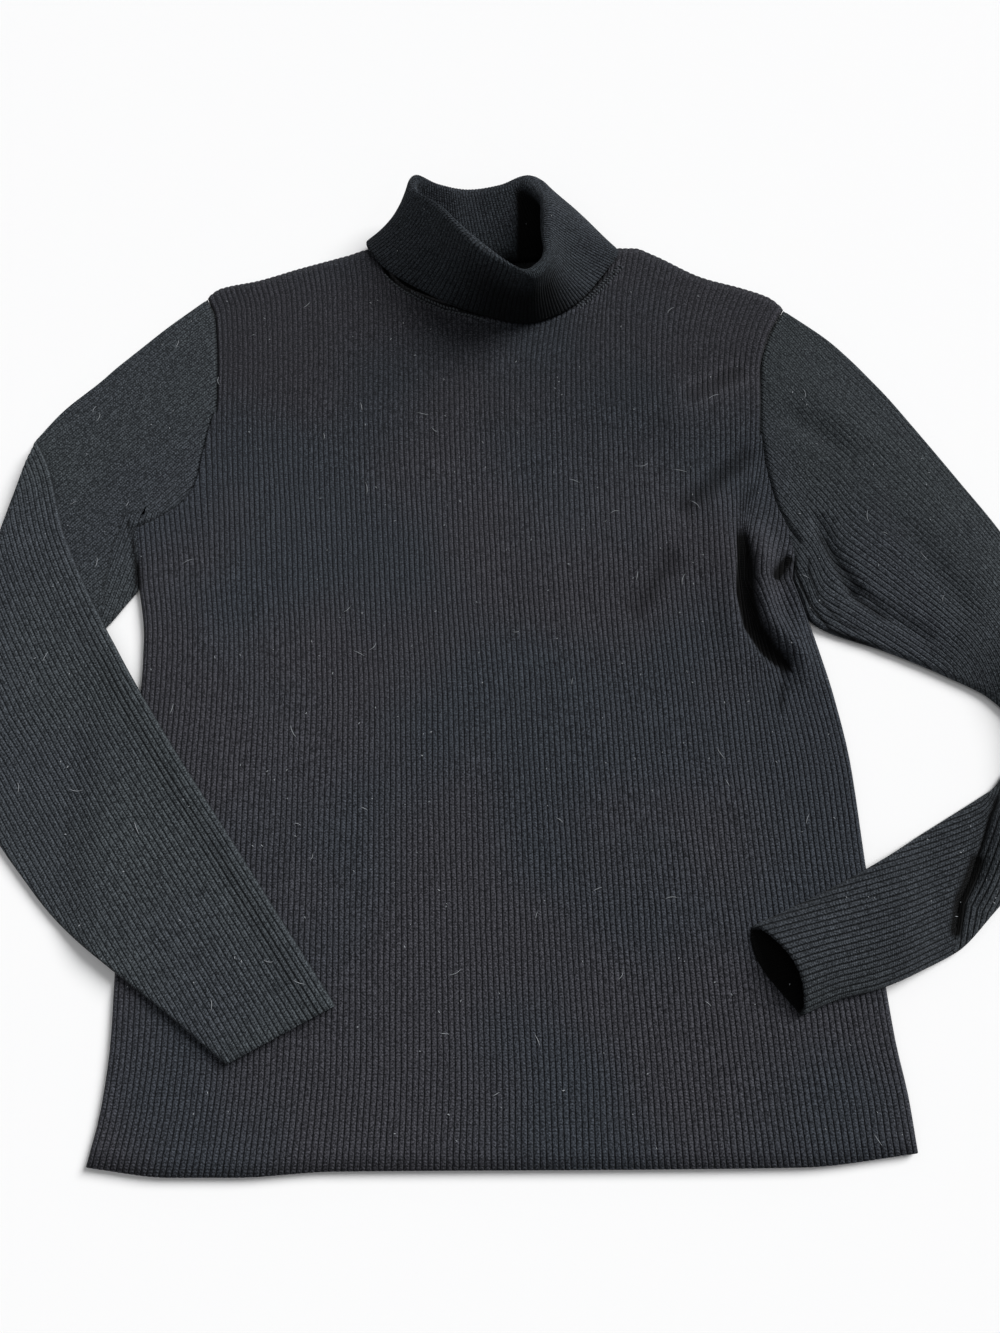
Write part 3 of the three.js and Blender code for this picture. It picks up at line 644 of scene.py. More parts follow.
def armhole(first, last, sign):
    """The armhole's seam line by the way along it: the front's own edge, moved out by the gap."""
    plan = body_plan(FRONT_TOP)
    levels = np.linspace(3, 2, 25)
    upper = np.stack(plan(np.full_like(levels, first), levels), 1)
    ribs = np.linspace(first, last, 1 + 6 * abs(last - first))[1:]
    lower = np.stack(plan(ribs, np.full_like(ribs, 2.0)), 1)
    points = np.concatenate([upper, lower])
    step = np.diff(points, axis=0)
    length = np.r_[0, np.cumsum(np.hypot(*step.T))]
    way = length / length[-1]
    tangent = np.gradient(points, length, axis=0)
    tangent /= np.hypot(*tangent.T)[:, None]
    out = sign * np.stack([tangent[:, 1], -tangent[:, 0]], 1)
    off = SEAM_OFF + UNDERARM_CLEAR * np.clip((way - UNDERARM_FROM) / (1 - UNDERARM_FROM), 0, 1)
    points = points + out * off[:, None]
    return lambda t: (np.interp(t, way, points[:, 0]), np.interp(t, way, points[:, 1]))


def edges(rows):
    """Place across a sleeve: straight from edge a to edge b, which are smooth along the sleeve."""
    ax, ay, bx, by = by_first(rows)[:4]
    return lambda along, t: (lerp(ax(along), bx(along), t), lerp(ay(along), by(along), t))


# A forearm on other cloth: how high it lies, and how it comes down past that cloth's edge
OVER = STACK + 0.8
RAMP = (9, 30)
# Points across each face of a sleeve, on its skin and on its lining
FACE_POINTS = 180
SLEEVE_LINING = 24


def propped(off):
    """How high a forearm is held up where it lies on other cloth, falling past that cloth's edge."""
    return OVER * (1 - fade(off, *RAMP))


def tube(name, blocks, material):
    """A flattened tube from blocks of rows. Each block is (values down its rows, width function,
    place function). The outer skin goes once round with round edges, the lining lies a wall inside
    it, and rings of triangles close the tube's ends. The lining is painted fully dark, as the shade
    inside the tube. A place function takes the row's value, the way across, the height in the
    stack, the face (1 or -1) and how far ribs may rise, and gives the point, its place in the knit
    and its painted shade."""
    cloth = Cloth()
    faces = []
    for count in (FACE_POINTS, SLEEVE_LINING):
        t = np.linspace(0, 1, count + 1)
        back = t[-2:0:-1]
        faces.append((np.r_[t, back], np.r_[0 * t + 1, 0 * back - 1], np.r_[t / 2, 1 - back / 2]))
    (t_out, face_out, way), (t_in, face_in, way_in) = faces
    open_by = np.where((t_in == 0) | (t_in == 1), 0, SEAM_GAP / 2)
    outer, inner = [], []
    for rows, width, place in blocks:
        row = np.asarray(rows, float)[:, None]
        wide = width(row)
        off = np.minimum(t_out, 1 - t_out) * wide
        height = MID + face_out * MID * rounding(off, MID)
        outer.append(place(row, t_out + 0 * wide, height, face_out, np.clip(off / EDGE_ROUND, 0, 1)))
        inset = WALL / wide
        across = lerp(inset, 1 - inset, t_in)
        inner.append(place(row, across, MID + face_in * open_by + 0 * wide, face_in, 0 * across))
    skins = []
    for parts, lined in ((outer, False), (inner, True)):
        xyz, knit, painted_shade = (np.concatenate(part) for part in zip(*parts))
        knit = np.concatenate([knit, knit[:, :1]], 1)
        # The lining is painted fully dark, as the shade inside the tube
        skins.append(cloth.grid(xyz, knit, 1.0 if lined else painted_shade, wrap=True))
    skin, lining = skins
    cloth.close(skin, np.r_[way, 1], lining, np.r_[way_in, 1])
    return cloth.make(name, material)


def across_of(plan):
    """Width of a sleeve by the way along it."""
    def width(along):
        a, b = plan(along, 0), plan(along, 1)
        return np.hypot(a[0] - b[0], a[1] - b[1])
    return width


def near_seam(x, y, seam):
    """1 on the armhole seam, falling to 0 beside it."""
    line = np.stack(seam(np.linspace(0, 1, 25)), 1)
    return np.exp(-((from_path(x, y, line)[0] / SEAM_HALF) ** 2))


def stacked(*arrays):
    return np.stack(np.broadcast_arrays(*arrays), 2)


# The share of a sleeve's length beyond which its start no longer follows the armhole's seam line
LEFT_BEND = 0.5
RIGHT_BEND = 0.2
SEAM_EASE = 0.15


def from_seam(plan, seam, reach):
    """Plan of a sleeve by the ways along and across it, its start drawn on to the seam line."""
    def place(along, t):
        bend = ease(1 - along / reach) * (1 - t * t * ease(along / SEAM_EASE))
        (x, y), (x0, y0), (sx, sy) = plan(along, t), plan(0.0, t), seam(t)
        return x + (sx - x0) * bend, y + (sy - y0) * bend
    return place


# The edge of the cloth under the left forearm, past which it comes down: a point and the way out
LEFT_UNDER = (-247, 309, 0.658, -0.752)
# The elbow fold turns narrower towards its outer corner, over this length
FOLD_CORNER = 80
# How the upper layer draws back from that corner
CORNER_PULL = 4.5
CORNER_WIDE = 16
CORNER_WAY = (0.45, -0.89)
# A point on the left upper arm's edge a, and the way along it
ARM_FROM = (-228, 524)
ARM_WAY = (-0.69, -0.724)
# Left of this line, x by y, the upper arm's ribs run along it; right of it they come from behind
UNDERARM_TOP = 386
UNDERARM_SEAM = smooth((300, 328, 346, UNDERARM_TOP), (-250, -250, -249, -243))
BEHIND_WAY = (0.25, 0.968)
# The upper arm's ribs lose their stretch across it
LEFT_FLAT_LOSS = (0.6, 0.3)
# Where the forearm starts in the knit, and how far its edge line is led on before it
FORE_START = 117
FORE_LEAD = 100
# Forearm ribs that are pressed in beside edge a, as ribs from it, and where along it
PRESSED_RIB = 3.4
PRESSED_HALF = 1.5
PRESSED_ALONG = (0.3, 0.2)
# How dark the pressed ribs' valleys are painted, as the shade in them
PRESSED_DARK = 0.7
# The left cuff's upper layer lifts in an uneven wave, and where along the forearm
CUFF_WAVE = 2.2
CUFF_ALONG = (0.94, 0.06)


def left_sleeve(material):
    """The upper arm runs out from the armhole, turns over on the elbow fold round a line at half
    the stack's height, and comes back as the forearm on top, inside up."""
    seam = armhole(LEFT_RIB, 0, 1)
    arm = edges(table("along ax ay bx by", (0, *seam(0.0), *seam(1.0)), *LEFT_ARM))
    arm_at = from_seam(arm, seam, LEFT_BEND)
    forearm = edges(LEFT_FOREARM)

    def straight_knit(x, y):
        dx, dy = x - ARM_FROM[0], y - ARM_FROM[1]
        return (dy * ARM_WAY[0] - dx * ARM_WAY[1]) / RIB_WIDE, dx * ARM_WAY[0] + dy * ARM_WAY[1]

    def drawn_back(x, y, off, share=1.0):
        near = share * CORNER_PULL * np.exp(-((off / CORNER_WIDE) ** 2))
        return x + CORNER_WAY[0] * near, y + CORNER_WAY[1] * near

    def upper(along, t, h, face, rise):
        x, y = arm_at(along, t)
        u, v = straight_knit(x, y)
        behind = (x > UNDERARM_SEAM(y)) & (y < UNDERARM_TOP) & (face > 0)
        u = np.where(behind, (x * BEHIND_WAY[1] - y * BEHIND_WAY[0]) / RIB_WIDE, u)
        lift, painted_shade = relief(x, y, [], SLEEVE_CREASES)
        near = near_seam(x, y, seam)
        z = h + np.where(h > MID, lift - SEAM_SINK * near, 0)
        flat = LEFT_FLAT * (1 - fade(t, *LEFT_FLAT_LOSS))
        painted_shade = stretched(np.maximum(painted_shade, SEAM_DARK * near), flat)
        return stacked(x, y, z), stacked(u, v), painted_shade * (face > 0)

    fold_a, fold_b = (np.array(arm(1.0, t)) for t in (0.0, 1.0))
    fold_long = np.hypot(*(fold_b - fold_a))
    out = np.array([fold_b[1] - fold_a[1], fold_a[0] - fold_b[0]]) / fold_long
    fold_z = (OVER + STACK) / 2

    def turn(angle, t, h, face, rise):
        radius = fold_z - h
        x, y = arm(1.0, t)
        reach = radius * np.sin(angle) * ease(t * fold_long / FOLD_CORNER)
        z = fold_z - radius * np.cos(angle)
        turned = drawn_back(x + out[0] * reach, y + out[1] * reach, t * fold_long, angle / np.pi)
        return stacked(*turned, z), stacked(*straight_knit(x, y), z)[:, :, :2], 0 * z

    lines = np.linspace(0, 1, 40)
    edge_a = np.stack(forearm(lines, 0.0), 1)
    first = edge_a[1] - edge_a[0]
    edge_a = np.concatenate([edge_a[:1] - first / np.hypot(*first) * FORE_LEAD, edge_a])
    edge_long = np.hypot(*np.diff(edge_a, axis=0).T).sum()

    def fore(along, t, h, face, rise):
        x, y = forearm(along, t)
        off_body = left_side(np.minimum(y, SPLIT)) - x
        px, py, out_x, out_y = LEFT_UNDER
        off_arm = (x - px) * out_x + (y - py) * out_y
        low = np.where(along == 0, OVER, propped(np.minimum(off_body, off_arm)))
        off, way = from_path(x, y, edge_a)
        u = off / RIB_WIDE
        v = FORE_START - FORE_LEAD + way * edge_long
        shown = face < 0
        pressed = fade(along, *PRESSED_ALONG) * np.exp(-(((u - PRESSED_RIB) / PRESSED_HALF) ** 2))
        painted_shade = PRESSED_DARK * pressed * (1 - rib_profile(u)) * shown
        cuff = fade(along, *CUFF_ALONG) * np.sin(np.pi * t) * (0.7 + 0.3 * np.sin(9 * t + 1))
        ribs = RIB_RISE * rib_profile(u) * rise * shown * (1 + 0.5 * pressed)
        z = low + STACK - h + ribs + np.where(h < MID, CUFF_WAVE * cuff, 0)
        x, y = drawn_back(x, y, np.hypot(x - fold_a[0], y - fold_a[1]))
        return stacked(x, y, z), stacked(u, v), painted_shade + 0 * z

    angles = np.radians(np.linspace(0, 180, 13))[1:-1]
    return tube("sleeve_left_knit", [
        (np.r_[0, 0.004, 0.008, 0.014, 0.022, 0.032, np.linspace(0.045, 1, 68)], across_of(arm), upper),
        (angles, lambda angle: np.full_like(angle, fold_long), turn),
        (np.linspace(0, 1, 110), across_of(forearm), fore),
    ], material)


# The right sleeve's straight rib line near the armhole: a point on it and the way along it
RIGHT_FROM = (224, 514)
RIGHT_WAY = (0.584, -0.812)
RIGHT_LONG = 600
# Along the sleeve the ribs leave that line and fan out by count, and stand up
FAN_OUT = (0.04, 0.16)
STAND_UP = (0.06, 0.1)
# From here the sleeve lies on the body and comes down past its edge
RIGHT_FALLS_FROM = 0.6
# Its ribs lose their stretch across it and along it
RIGHT_FLAT_LOSS = (0.45, 0.35)
RIGHT_FLAT_FADE = (0.35, 0.15)
# The right cuff's mouth: its axis, how far its lower lip reaches out and its upper one draws back,
# in small scallops along the very edge
MOUTH_WAY = (-0.91, -0.41)
MOUTH_ALONG = (0.93, 0.07)
LIP_OUT = 7.5
LIP_BACK = 8.0
LIP_SCALLOP = 0.7
SCALLOP_ALONG = (0.985, 0.015)
# The pleat at the elbow: the line of its edge, beyond which the ribs run along it for a way
PLEAT = [(300, 212), (293, 198), (288, 189), (281, 174), (272, 154), (264, 140), (259, 116)]
PLEAT_WIDE = 34
PLEAT_FROM = 0.6
PLEAT_TO = 0.82
# The forearm's valleys are painted darker, as the shade in them
FINE_ALONG = (0.66, 0.06)
FINE_DARK = 0.8
# Rows along the sleeve: from, to and how many, closest at the pleat
RIGHT_START = (0, 0.0015, 0.003, 0.006)
RIGHT_ROWS = [(0.01, 0.2, 44), (0.205, 0.42, 36), (0.43, 0.735, 40), (0.737, 0.81, 56), (0.813, 1, 46)]


def right_sleeve(material):
    """The sleeve bends at the elbow and comes back down on to the body. Its upper layer stands off
    the lower one by puff * sin(pi * way across)."""
    seam = armhole(RIGHT_RIB, BODY_RIBS, -1)
    rows = table(RIGHT_ARM_NAMES, (0, *seam(0.0), *seam(1.0), 0, 36), *RIGHT_ARM)
    arm = edges(rows)
    arm_at = from_seam(arm, seam, RIGHT_BEND)
    puff, count = by_first(rows)[4:]

    def place(along, t, h, face, rise):
        x, y = arm_at(along, t)
        straight = ((x - RIGHT_FROM[0]) * RIGHT_WAY[1] - (y - RIGHT_FROM[1]) * RIGHT_WAY[0]) / RIB_WIDE
        u = lerp(straight, t * count(along), fade(along, *FAN_OUT))
        beyond = -from_path(x, y, PLEAT)[0]
        turned = (beyond > 0) & (beyond < PLEAT_WIDE) & (along > PLEAT_FROM) & (along < PLEAT_TO)
        u = np.where(turned, beyond / RIB_WIDE, u)
        shown = face > 0
        lift, painted_shade = relief(x, y, SLEEVE_FOLDS, SLEEVE_CREASES)
        raised = np.where(h > MID, 1, 0)
        bulge = np.maximum(np.sin(np.pi * t), 0)
        at_mouth = fade(along, *MOUTH_ALONG)
        scallop = LIP_SCALLOP * fade(along, *SCALLOP_ALONG) * rib_profile(u)
        upper_lip = bulge ** 0.8 * (scallop - LIP_BACK)
        lower_lip = np.maximum(np.sin(np.pi * t ** 1.7), 0) ** 0.6 * LIP_OUT
        slide = at_mouth * np.where(h > MID, upper_lip, lower_lip)
        off = x - right_side(np.minimum(y, SPLIT))
        low = np.where(along > RIGHT_FALLS_FROM, propped(off), 0)
        near = near_seam(x, y, seam) * (along < SEAM_EASE)
        flat = RIGHT_FLAT * (1 - fade(t, *RIGHT_FLAT_LOSS)) * (1 - fade(along, *RIGHT_FLAT_FADE))
        painted_shade = stretched(np.maximum(painted_shade, SEAM_DARK * near), flat) * shown
        fine = FINE_DARK * (1 - rib_profile(u)) * fade(along, *FINE_ALONG)
        painted_shade = np.where(painted_shade < 0, painted_shade, np.maximum(painted_shade, fine * shown))
        ribs = RIB_RISE * rib_profile(u) * rise * shown * fade(along, *STAND_UP)
        z = low + h + ribs + raised * (puff(along) * bulge + lift - SEAM_SINK * near)
        xyz = stacked(x + MOUTH_WAY[0] * slide, y + MOUTH_WAY[1] * slide, z)
        return xyz, stacked(u, along * RIGHT_LONG), painted_shade + 0 * z

    alongs = np.concatenate([RIGHT_START, *(np.linspace(*row) for row in RIGHT_ROWS)])
    return tube("sleeve_right_knit", [(alongs, across_of(arm), place)], material)


def closed_curve(columns):
    """A closed smooth curve through the collar's rows, by the way round from 0 to 1: each stretch
    is a cubic whose end slopes are half the step between the neighbouring points."""
    points = np.stack([COLLAR_ROUND[name] for name in columns], 1)
    count = len(points)
    slope = (np.roll(points, -1, 0) - np.roll(points, 1, 0)) / 2

    def at(way):
        s = (way % 1) * count
        k = s.astype(int) % count
        t = (s - np.floor(s))[:, None]
        n = (k + 1) % count
        return cubic(t, points[k], points[n], slope[k], slope[n])

    return at


# How far the turned-down part curves in between its fold and hem, at the sides and at the front and
# back. Where the turn is rounder it curves out instead, by this many times as much less 1
SAG = 3.5
SAG_FRONT = 1.5
SAG_TURNED = 1.8
# Round the collar, as rows of its table: where the slit of the inside, painted dark as the shade in
# it, starts, and where it ends at the fold and at the foot
SLIT = (4.0, 6.4, 7.1)
SLIT_SOFT = (0.35, 0.15)
# The front hangs in its own shade, which is painted on it: it starts before the last row and is gone
# after the first
FRONT_FROM = (13.0, 1.6)
FRONT_TO = (1.0, 1.2)
FRONT_PAINTED_SHADE = 0.8
# The inside's painted shade at the foot
FOOT_PAINTED_SHADE = 0.9
# The hem's waves: how high, and how many round the collar
HEM_WAVER = 0.5
HEM_WAVES = 9
# Length of knit at the foot, where the turn starts and ends, and at the hem
COLLAR_CUT = (0, 48, 57, 105)


def collar(material):
    """Carried round the neck: a profile that rises from the foot, turns over in a half round of
    radius ROLL at the fold and falls to the hem. Ribs stand on the side that shows."""
    foot, fold, hem = (closed_curve([part + axis for axis in "xyz"]) for part in "fth")

    def place(round_, way, side):
        """Points by the way round, the way over the profile (0 foot, 1 and 2 the turn, 3 hem) and
        how far out of the cloth's middle."""
        f, t, h = foot(round_)[None], fold(round_)[None], hem(round_)[None]
        up = t - (f + h) / 2
        up = up / np.linalg.norm(up, axis=2, keepdims=True)
        out = h - f
        out = out - up * np.sum(out * up, 2, keepdims=True)
        out = out / np.linalg.norm(out, axis=2, keepdims=True)
        apart = (round_ * COLLAR_ROWS - ROUNDER_AT) / ROUNDER_SPAN
        puffed = np.exp(-(apart ** 2))[None, :, None]
        roll = ROLL + ROUNDER * puffed
        centre = t - up * roll
        way, side = way[:, None, None], side[..., None]
        rise = lerp(f, centre - out * roll, np.clip(way, 0, 1)) - out * side
        sag = lerp(SAG_FRONT, SAG, np.sin(2 * np.pi * round_) ** 2)[None, :, None]
        down = np.clip(way - 2, 0, 1)
        sag = sag * (1 - SAG_TURNED * puffed)
        fall = lerp(centre + out * roll, h, down) + out * (side - sag * np.sin(np.pi * down))
        angle = np.clip(way - 1, 0, 1) * np.pi
        over = centre + (roll + side) * (up * np.sin(angle) - out * np.cos(angle))
        return np.where(way <= 1, rise, np.where(way >= 2, fall, over))

    cloth = Cloth()
    ways = np.r_[np.linspace(0, 1, 16), np.linspace(1, 2, 9)[1:], np.linspace(2, 3, 20)[1:]]
    level = ways[:, None]
    knit_mm = np.interp(level, range(len(COLLAR_CUT)), COLLAR_CUT)

    def skin(round_, side, painted_shade):
        waver = HEM_WAVER * np.sin(2 * np.pi * HEM_WAVES * round_[:-1] + 1) * np.clip(level - 2, 0, 1)
        xyz = place(round_[:-1], ways, side + waver)
        return cloth.grid(xyz, stacked(round_ * COLLAR_RIBS, knit_mm), painted_shade, wrap=True)

    round_out = np.linspace(0, 1, COLLAR_RIBS * COLLAR_POINTS + 1)
    round_in = np.linspace(0, 1, COLLAR_RIBS + 1)
    at = round_out[:-1] * COLLAR_ROWS
    slit_end = lerp(SLIT[2], SLIT[1], np.clip(level, 0, 1))
    slit_shade = ease((at - SLIT[0]) / SLIT_SOFT[0]) * ease((slit_end - at) / SLIT_SOFT[1])
    front = fade(at, *FRONT_FROM) + 1 - fade(at, *FRONT_TO)
    # Painted shade: inside at the foot, in the slit, and on the front's turned-down part
    painted_shade = np.maximum(FOOT_PAINTED_SHADE * ease((0.3 - level) / 0.3), slit_shade * ease((1.1 - level) / 0.2))
    painted_shade = np.maximum(painted_shade, FRONT_PAINTED_SHADE * front * ease((level - 1.9) / 0.6))
    ribs = 0.5 * RIB_RISE * rib_profile(round_out[:-1] * COLLAR_RIBS)
    outer = skin(round_out, WALL / 2 + ribs, painted_shade)
    # The collar's lining is painted fully dark, as the shade inside it
    lining = skin(round_in, -WALL / 2, 1.0)
    cloth.close(outer, round_out, lining, round_in)
    return cloth.make("collar_knit", material)


def linear(hexcode):
    """An sRGB hex colour as linear RGBA."""
    c = np.array([int(hexcode[i:i + 2], 16) for i in (1, 3, 5)]) / 255
    c = np.where(c <= 0.04045, c / 12.92, ((c + 0.055) / 1.055) ** 2.4)
    return (*c.tolist(), 1.0)


def add(tree, kind, inputs=(), **settings):
    """Adds a node, sets its properties, and sets or links its inputs by name or number."""
    made = tree.nodes.new(kind)
    for name, value in settings.items():
        setattr(made, name, value)
    for key, value in dict(inputs).items():
        if isinstance(value, bpy.types.NodeSocket):
            tree.links.new(value, made.inputs[key])
        else:
            made.inputs[key].default_value = value
    return made


def surface(name, **sockets):
    """A material with one Principled shader, its fixed values set on the shader's own sockets."""
    made = bpy.data.materials.new(name)
    made.use_nodes = True
    tree = made.node_tree
    tree.nodes.clear()
    shader = add(tree, "ShaderNodeBsdfPrincipled", {k.replace("_", " "): v for k, v in sockets.items()})
    out = add(tree, "ShaderNodeOutputMaterial")
    tree.links.new(shader.outputs[0], out.inputs[0])
    return made, tree, shader


# Length of a drawn loop, and how many per metre: fibres, specks of light, and bends in the ribs;
# and patches of a slightly other grey
STITCH_MM = 1.6
FIBRE_PER_M = 1500
SPECKLE_PER_M = 900
WANDER_PER_M = 45
PATCH_PER_M = 7
# How far the ribs' lines wander, in ribs
WANDER = 0.2
# How light a rib's top is where it is stretched flat, of 1
FLAT_CREST = 0.24
# The near black towards which painted shade in folds, creases, seams and insides mixes the colour
PAINTED_SHADE_BLACK = "#020202"


def rib_knit(name, top, valley_shade, tint, parted=1.0):
    """Cotton and viscose yarn knitted in a fine rib: matt and a little hairy, its narrow valleys
    between the ribs painted darker than the ribs' tops as the shade in them, with rows of slanted
    loops that just show. The real loops are about 1.3 mm long, and are drawn at 1.6 mm so that they
    show. Where parted is below 1, a fine line parts the columns of loops on each rib. The painted
    shade attribute darkens the colour towards near black."""
    made, tree, shader = surface(name, Roughness=0.95, Specular_IOR_Level=0.1, Sheen_Weight=0.06,
                                 Sheen_Roughness=0.5, Sheen_Tint=linear("#b6babf"))

    def calc(operation, *values):
        return add(tree, "ShaderNodeMath", enumerate(values), operation=operation).outputs[0]

    def ramp(value, low, high, at_low, at_high, kind="SMOOTHSTEP"):
        return add(tree, "ShaderNodeMapRange", {0: value, 1: low, 2: high, 3: at_low, 4: at_high},
                   interpolation_type=kind).outputs[0]

    def noise(scale, detail):
        return add(tree, "ShaderNodeTexNoise", {"Vector": place.outputs["Object"], "Scale": scale,
                                                "Detail": detail, "Roughness": 0.6}).outputs[0]

    def mix(part, a, b, blend="MIX"):
        return add(tree, "ShaderNodeMix", {0: part, 6: a, 7: b}, data_type="RGBA",
                   blend_type=blend).outputs[2]

    uv = add(tree, "ShaderNodeUVMap", uv_map="knit")
    split = add(tree, "ShaderNodeSeparateXYZ", {0: uv.outputs[0]})
    place = add(tree, "ShaderNodeTexCoord")
    wander = calc("SUBTRACT", noise(WANDER_PER_M, 1.0), 0.5)
    across = calc("MULTIPLY_ADD", wander, WANDER, split.outputs[0])
    half = calc("ABSOLUTE", calc("SUBTRACT", calc("FRACT", across), 0.5))
    loops = calc("MULTIPLY_ADD", half, 1.0, calc("MULTIPLY", split.outputs[1], 1 / STITCH_MM))
    loop = calc("ABSOLUTE", calc("SUBTRACT", calc("FRACT", loops), 0.5))
    crest = calc("MULTIPLY", ramp(half, 0.33, 0.5, 1.0, 0.0), ramp(half, 0.0, 0.13, parted, 1.0))
    painted_shade = add(tree, "ShaderNodeAttribute", attribute_name="painted_shade").outputs["Fac"]
    flat = calc("MAXIMUM", calc("MULTIPLY", painted_shade, -1.0), 0.0)
    crest = calc("MULTIPLY_ADD", calc("SUBTRACT", FLAT_CREST, crest), flat, crest)
    fibre = noise(FIBRE_PER_M, 2.0)
    speckle = ramp(noise(SPECKLE_PER_M, 1.0), 0.36, 0.66, 0.6, 1.5, "LINEAR")
    loop_light = ramp(loop, 0.0, 0.5, 1.1, 0.72, "LINEAR")
    fibre_light = ramp(fibre, 0.3, 0.72, 0.5, 1.6, "LINEAR")
    light = calc("MULTIPLY", calc("MULTIPLY", loop_light, speckle), fibre_light)
    tops = mix(ramp(noise(PATCH_PER_M, 1.5), 0.38, 0.62, 0.0, 1.0), linear(top), linear(tint))
    ribbed = mix(calc("MULTIPLY", crest, speckle), linear(valley_shade), mix(1.0, tops, light, "MULTIPLY"))
    # Painted shade from the attribute mixes the colour towards near black
    dark = mix(calc("MAXIMUM", painted_shade, 0.0), ribbed, linear(PAINTED_SHADE_BLACK))
    height = calc("MULTIPLY_ADD", fibre, 0.45, calc("MULTIPLY", crest, loop_light))
    bump = add(tree, "ShaderNodeBump", {"Height": height, "Strength": 0.9, "Distance": 0.0006})
    tree.links.new(dark, shader.inputs["Base Color"])
    tree.links.new(bump.outputs[0], shader.inputs["Normal"])
    return made


# Colours of the ribs' tops, of their valleys painted darker as shade, and of patches of another grey
BODY_KNIT = rib_knit("body_rib_knit", "#3a3a3f", "#121316", "#35393f")
SLEEVE_KNIT = rib_knit("sleeve_rib_knit", "#404548", "#15181b", "#3d4146", 0.5)
COLLAR_KNIT = rib_knit("collar_rib_knit", "#33373c", "#0d0f11", "#2f3438")

# Rows up the front are closest beside the deep fold
FRONT_LOWS = np.r_[np.linspace(0, 0.72, 25), np.linspace(0.72, 1, 33)[1:], np.linspace(1, 2, 33)[1:]]
front = panel("front_knit", body_plan(FRONT_TOP), front_relief, FRONT_LOWS, np.linspace(2, 3, 21),
              RIB_POINTS, LAYER, True, BODY_KNIT)
back = panel("back_knit", body_plan(BACK_TOP), back_relief, np.linspace(0, 2, 49), np.linspace(2, 3, 13),
             3, 0, False, BODY_KNIT)
left = left_sleeve(SLEEVE_KNIT)
right = right_sleeve(SLEEVE_KNIT)
roll = collar(COLLAR_KNIT)


def joined(name, material, strips):
    """One mesh from small closed rods of 4 sides, each a list of points with a radius for each: the
    corners stand a radius off each point, to the side of its way and above it."""
    points, faces = [], []
    first = 0
    turn = (np.arange(4) * math.pi / 2)[:, None]
    for path, radius in strips:
        way = np.gradient(path, axis=0)
        way /= np.linalg.norm(way, axis=1)[:, None]
        side = np.cross(way, (0, 0, 1.0))
        side /= np.linalg.norm(side, axis=1)[:, None]
        off = side[:, None] * np.cos(turn) + np.cross(side, way)[:, None] * np.sin(turn)
        ring = path[:, None] + off * np.asarray(radius)[:, None, None]
        points.append(ring.reshape(-1, 3))
        index = first + np.arange(4 * len(path)).reshape(-1, 4)
        after = np.roll(index, -1, 1)
        around = np.stack([index[:-1], after[:-1], after[1:], index[1:]], 2)
        faces += [around.reshape(-1, 4), index[:1, ::-1], index[-1:]]
        first += index.size
    mesh = bpy.data.meshes.new(name)
    places = (np.concatenate(points) + SHIFT) * MM
    mesh.from_pydata(places.tolist(), [], np.concatenate(faces).tolist())
    mesh.shade_smooth()
    mesh.materials.append(material)
    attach(in_scene(name, mesh), "root")


def tree_of(piece):
    """The piece's faces, in a form that finds what lies under a place."""
    points = [v.co for v in piece.data.vertices]
    return BVHTree.FromPolygons(points, [p.vertices for p in piece.data.polygons])


TREES = [tree_of(piece) for piece in (front, left, right, roll)]


def on_top(x, y):
    """Height of the topmost cloth at a place, or None beside it."""
    start = Vector(((np.array([x, y, 200.0]) + SHIFT) * MM).tolist())
    hits = [tree.ray_cast(start, Vector((0, 0, -1)))[0] for tree in TREES]
    return max((hit.z / MM for hit in hits if hit), default=None)


LINT_SEED = 11
SPECKS = 240
HAIRS = 60
HAIR_LONG = (4, 9)
SPECK_LONG = (0.7, 1.9)
HAIR_RADIUS = 0.17
SPECK_RADIUS = (0.2, 0.36)
CURL = (-0.7, 0.7)
# Where it may fall, and how uneven the cloth under it may be
LINT_X = (-330, 330)
LINT_Y = (10, 610)
LINT_LEVEL = 2


def lint():
    """Specks and short curved hairs that lie on the cloth here and there."""
    chance = np.random.default_rng(LINT_SEED)
    strips = []
    while len(strips) < SPECKS + HAIRS:
        x, y = chance.uniform(*LINT_X), chance.uniform(*LINT_Y)
        hair = len(strips) >= SPECKS
        long_ = chance.uniform(*(HAIR_LONG if hair else SPECK_LONG))
        turn, curl = chance.uniform(0, math.tau), chance.uniform(*CURL)
        steps = np.linspace(-0.5, 0.5, 7 if hair else 3)
        along, aside = long_ * steps, curl * long_ * steps ** 2
        px = x + along * math.cos(turn) - aside * math.sin(turn)
        py = y + along * math.sin(turn) + aside * math.cos(turn)
        heights = [on_top(a, b) for a, b in zip(px, py)]
        if None in heights or max(heights) - min(heights) > LINT_LEVEL:
            continue
        radius = HAIR_RADIUS if hair else chance.uniform(*SPECK_RADIUS)
        z = np.full(len(px), max(heights)) + 0.1
        strips.append((np.stack([px, py, z], 1), radius * (1.05 - 4 * steps ** 2 * 0.8)))
    return strips


LINT = surface("lint", Base_Color=linear("#94989c"), Roughness=0.9, Specular_IOR_Level=0.1)[0]
joined("lint", LINT, lint())

# Cover stitching on the front beside the collar, as paths from left to right
NECK_STITCHING = [
    [(-78, 567), (-74.5, 562.2), (-65, 554), (-51, 545.2), (-37.3, 538.8), (-20.2, 534.9), (-8, 530.5)],
    [(53, 540), (63, 549.5), (72, 559.5), (79, 568), (85, 575)],
]
STITCH_STEP = 2.3
STITCH_APART = 2.6
STITCH_LEAN = 0.7
STITCH_REACH = 0.85
STITCH_RISE = 0.4
STITCH_RADII = (0.35, 0.75, 0.35)
# A stitch that would lie higher than this is under the collar, and is left out
STITCH_TOP = 6.0


